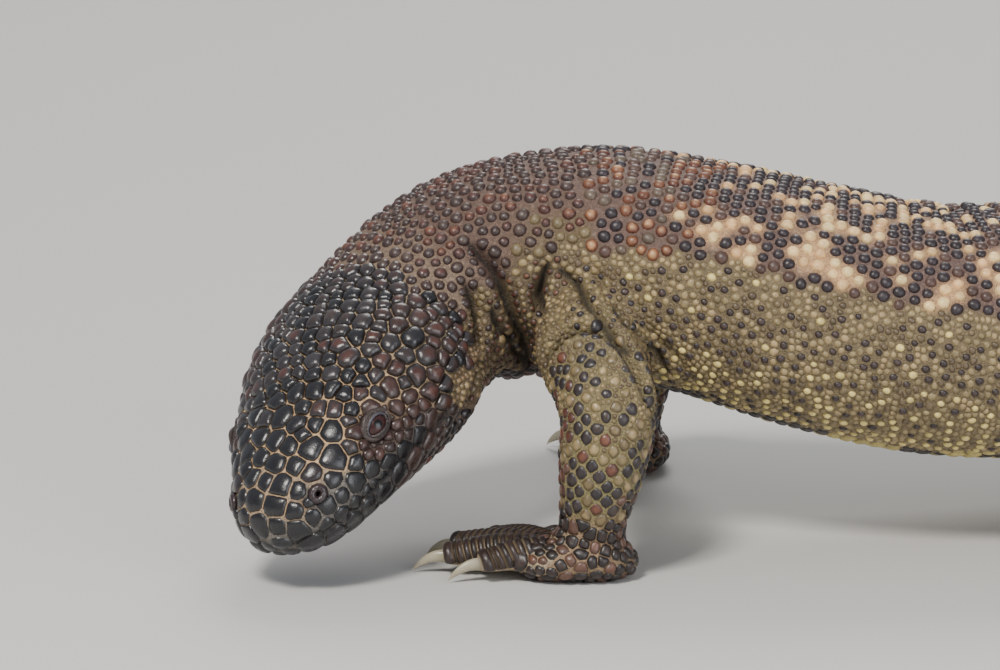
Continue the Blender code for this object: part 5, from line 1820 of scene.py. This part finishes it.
def stretches(seeds):
    """Each piece of the coat: name, which scales it holds, material and slot."""
    s, on_body = seeds.s, seeds.limb < 0
    head = on_body & (s < NECK_START + 2)
    yield "scales_head", head, "head", "head_plates"
    yield "scales_neck", on_body & ~head & (s < TRUNK_START), "beads", "beaded_skin"
    for name, low, high in BACK_STRETCHES:
        here = on_body & (s >= low) & (s < high)
        yield f"scales_back_{name}", here & (seeds.kind == BACK), "beads", "beaded_skin"
        yield f"scales_side_{name}", here & (seeds.kind != BACK), "beads", "beaded_skin"
    for name, low, high in TAIL_STRETCHES:
        yield f"scales_tail_{name}", on_body & (s >= low) & (s < high), "beads", "beaded_skin"
    for number, leg in enumerate(LEGS):
        yield f"scales_{leg.name}", seeds.limb == number, "legs", "leg_skin"


def make_scales(seeds, skin, tint, centre, rim):
    """All scales, in one piece for each stretch of the body."""
    mouth = mouth_angle(np.clip(seeds.s, 0, HEAD_LENGTH))
    above_or_below = np.where(np.sin(seeds.angle) > -np.sin(mouth), 1, -1)
    seeds.lip = np.where((seeds.kind == LABIAL) & (seeds.s < LIPS_END), above_or_below, 0)
    near = neighbours(seeds.at, 11)
    for name, mask, material, slot in stretches(seeds):
        parts = []
        for kind in sorted(set(seeds.kind[mask].astype(int).tolist())):
            index = np.nonzero(mask & (seeds.kind == kind))[0]
            parts.append(scale_mesh(seeds, near, skin, index, kind, tint, centre, rim))
        number = int(seeds.limb[mask].max())
        if number >= 0:
            parts.extend(toe_bands(number, LEGS[number]))
        finish_piece(name, parts, MATERIALS[material])


def make_floor():
    """A plain pale floor."""
    bpy.ops.mesh.primitive_plane_add(size=6.0, location=(0, 0, 0))
    floor = bpy.context.object
    floor.name = "floor"
    nodes = Nodes("floor")
    nodes.value("Base Color", (0.62, 0.61, 0.59, 1))
    nodes.value("Roughness", 0.7)
    floor.data.materials.append(nodes.material)


def make_lights():
    """Soft studio light: a pale sky and three wide lamps."""
    world = bpy.data.worlds.new("studio")
    bpy.context.scene.world = world
    world.use_nodes = True
    background = world.node_tree.nodes["Background"]
    background.inputs["Color"].default_value = SKY_COLOUR
    background.inputs["Strength"].default_value = SKY_STRENGTH
    middle = Vector(to_scene(LIT_PLACE))
    for name, place, size, power, colour in LAMPS:
        light = bpy.data.lights.new(name, "AREA")
        light.size = size
        light.energy = power
        light.color = colour
        obj = bpy.data.objects.new(name, light)
        bpy.context.scene.collection.objects.link(obj)
        obj.location = middle + Vector(place)
        obj.rotation_euler = (middle - obj.location).to_track_quat("-Z", "Y").to_euler()


def make_camera():
    """The camera, at the photo's angle and scale."""
    back = np.array([0.0, -math.cos(CAMERA_RISE), math.sin(CAMERA_RISE)])
    data = bpy.data.cameras.new("camera")
    data.sensor_width = 36.0
    data.lens = 36.0 / PICTURE_WIDTH * CAMERA_DISTANCE / MM_A_PIXEL
    data.clip_start = 0.05
    data.clip_end = 20.0
    camera = bpy.data.objects.new("camera", data)
    bpy.context.scene.collection.objects.link(camera)
    camera.location = Vector(to_scene(CAMERA_TARGET + back * CAMERA_DISTANCE))
    camera.rotation_euler = (math.radians(90) - CAMERA_RISE, 0, 0)
    bpy.context.scene.camera = camera


def main():
    make_floor()
    make_lights()
    make_camera()
    skin_obj, points, crease = make_skin()
    skin = Surface(skin_obj, points, crease)
    dress(skin_obj, MATERIALS["skin"])
    flesh_nodes = [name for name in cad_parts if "claw" not in name and "eye" not in name]
    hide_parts(*sorted(flesh_nodes))

    seeds = Seeds()
    seed_head_and_neck(seeds)
    seed_trunk_and_tail(seeds)
    seed_face(seeds, skin)
    seed_legs(seeds)
    seeds.finish()
    settle_seeds(seeds, skin)
    tint, centre, rim = body_colours(seeds)
    set_colours(skin_obj, skin_colour(points, crease, seeds, rim))
    make_scales(seeds, skin, tint, centre, rim)
    for side, name in ((1, "left"), (-1, "right")):
        make_eye(side, "eye_" + name)
        make_nostril(side, "nostril_" + name)
    for leg in LEGS:
        make_claws(leg)


main()
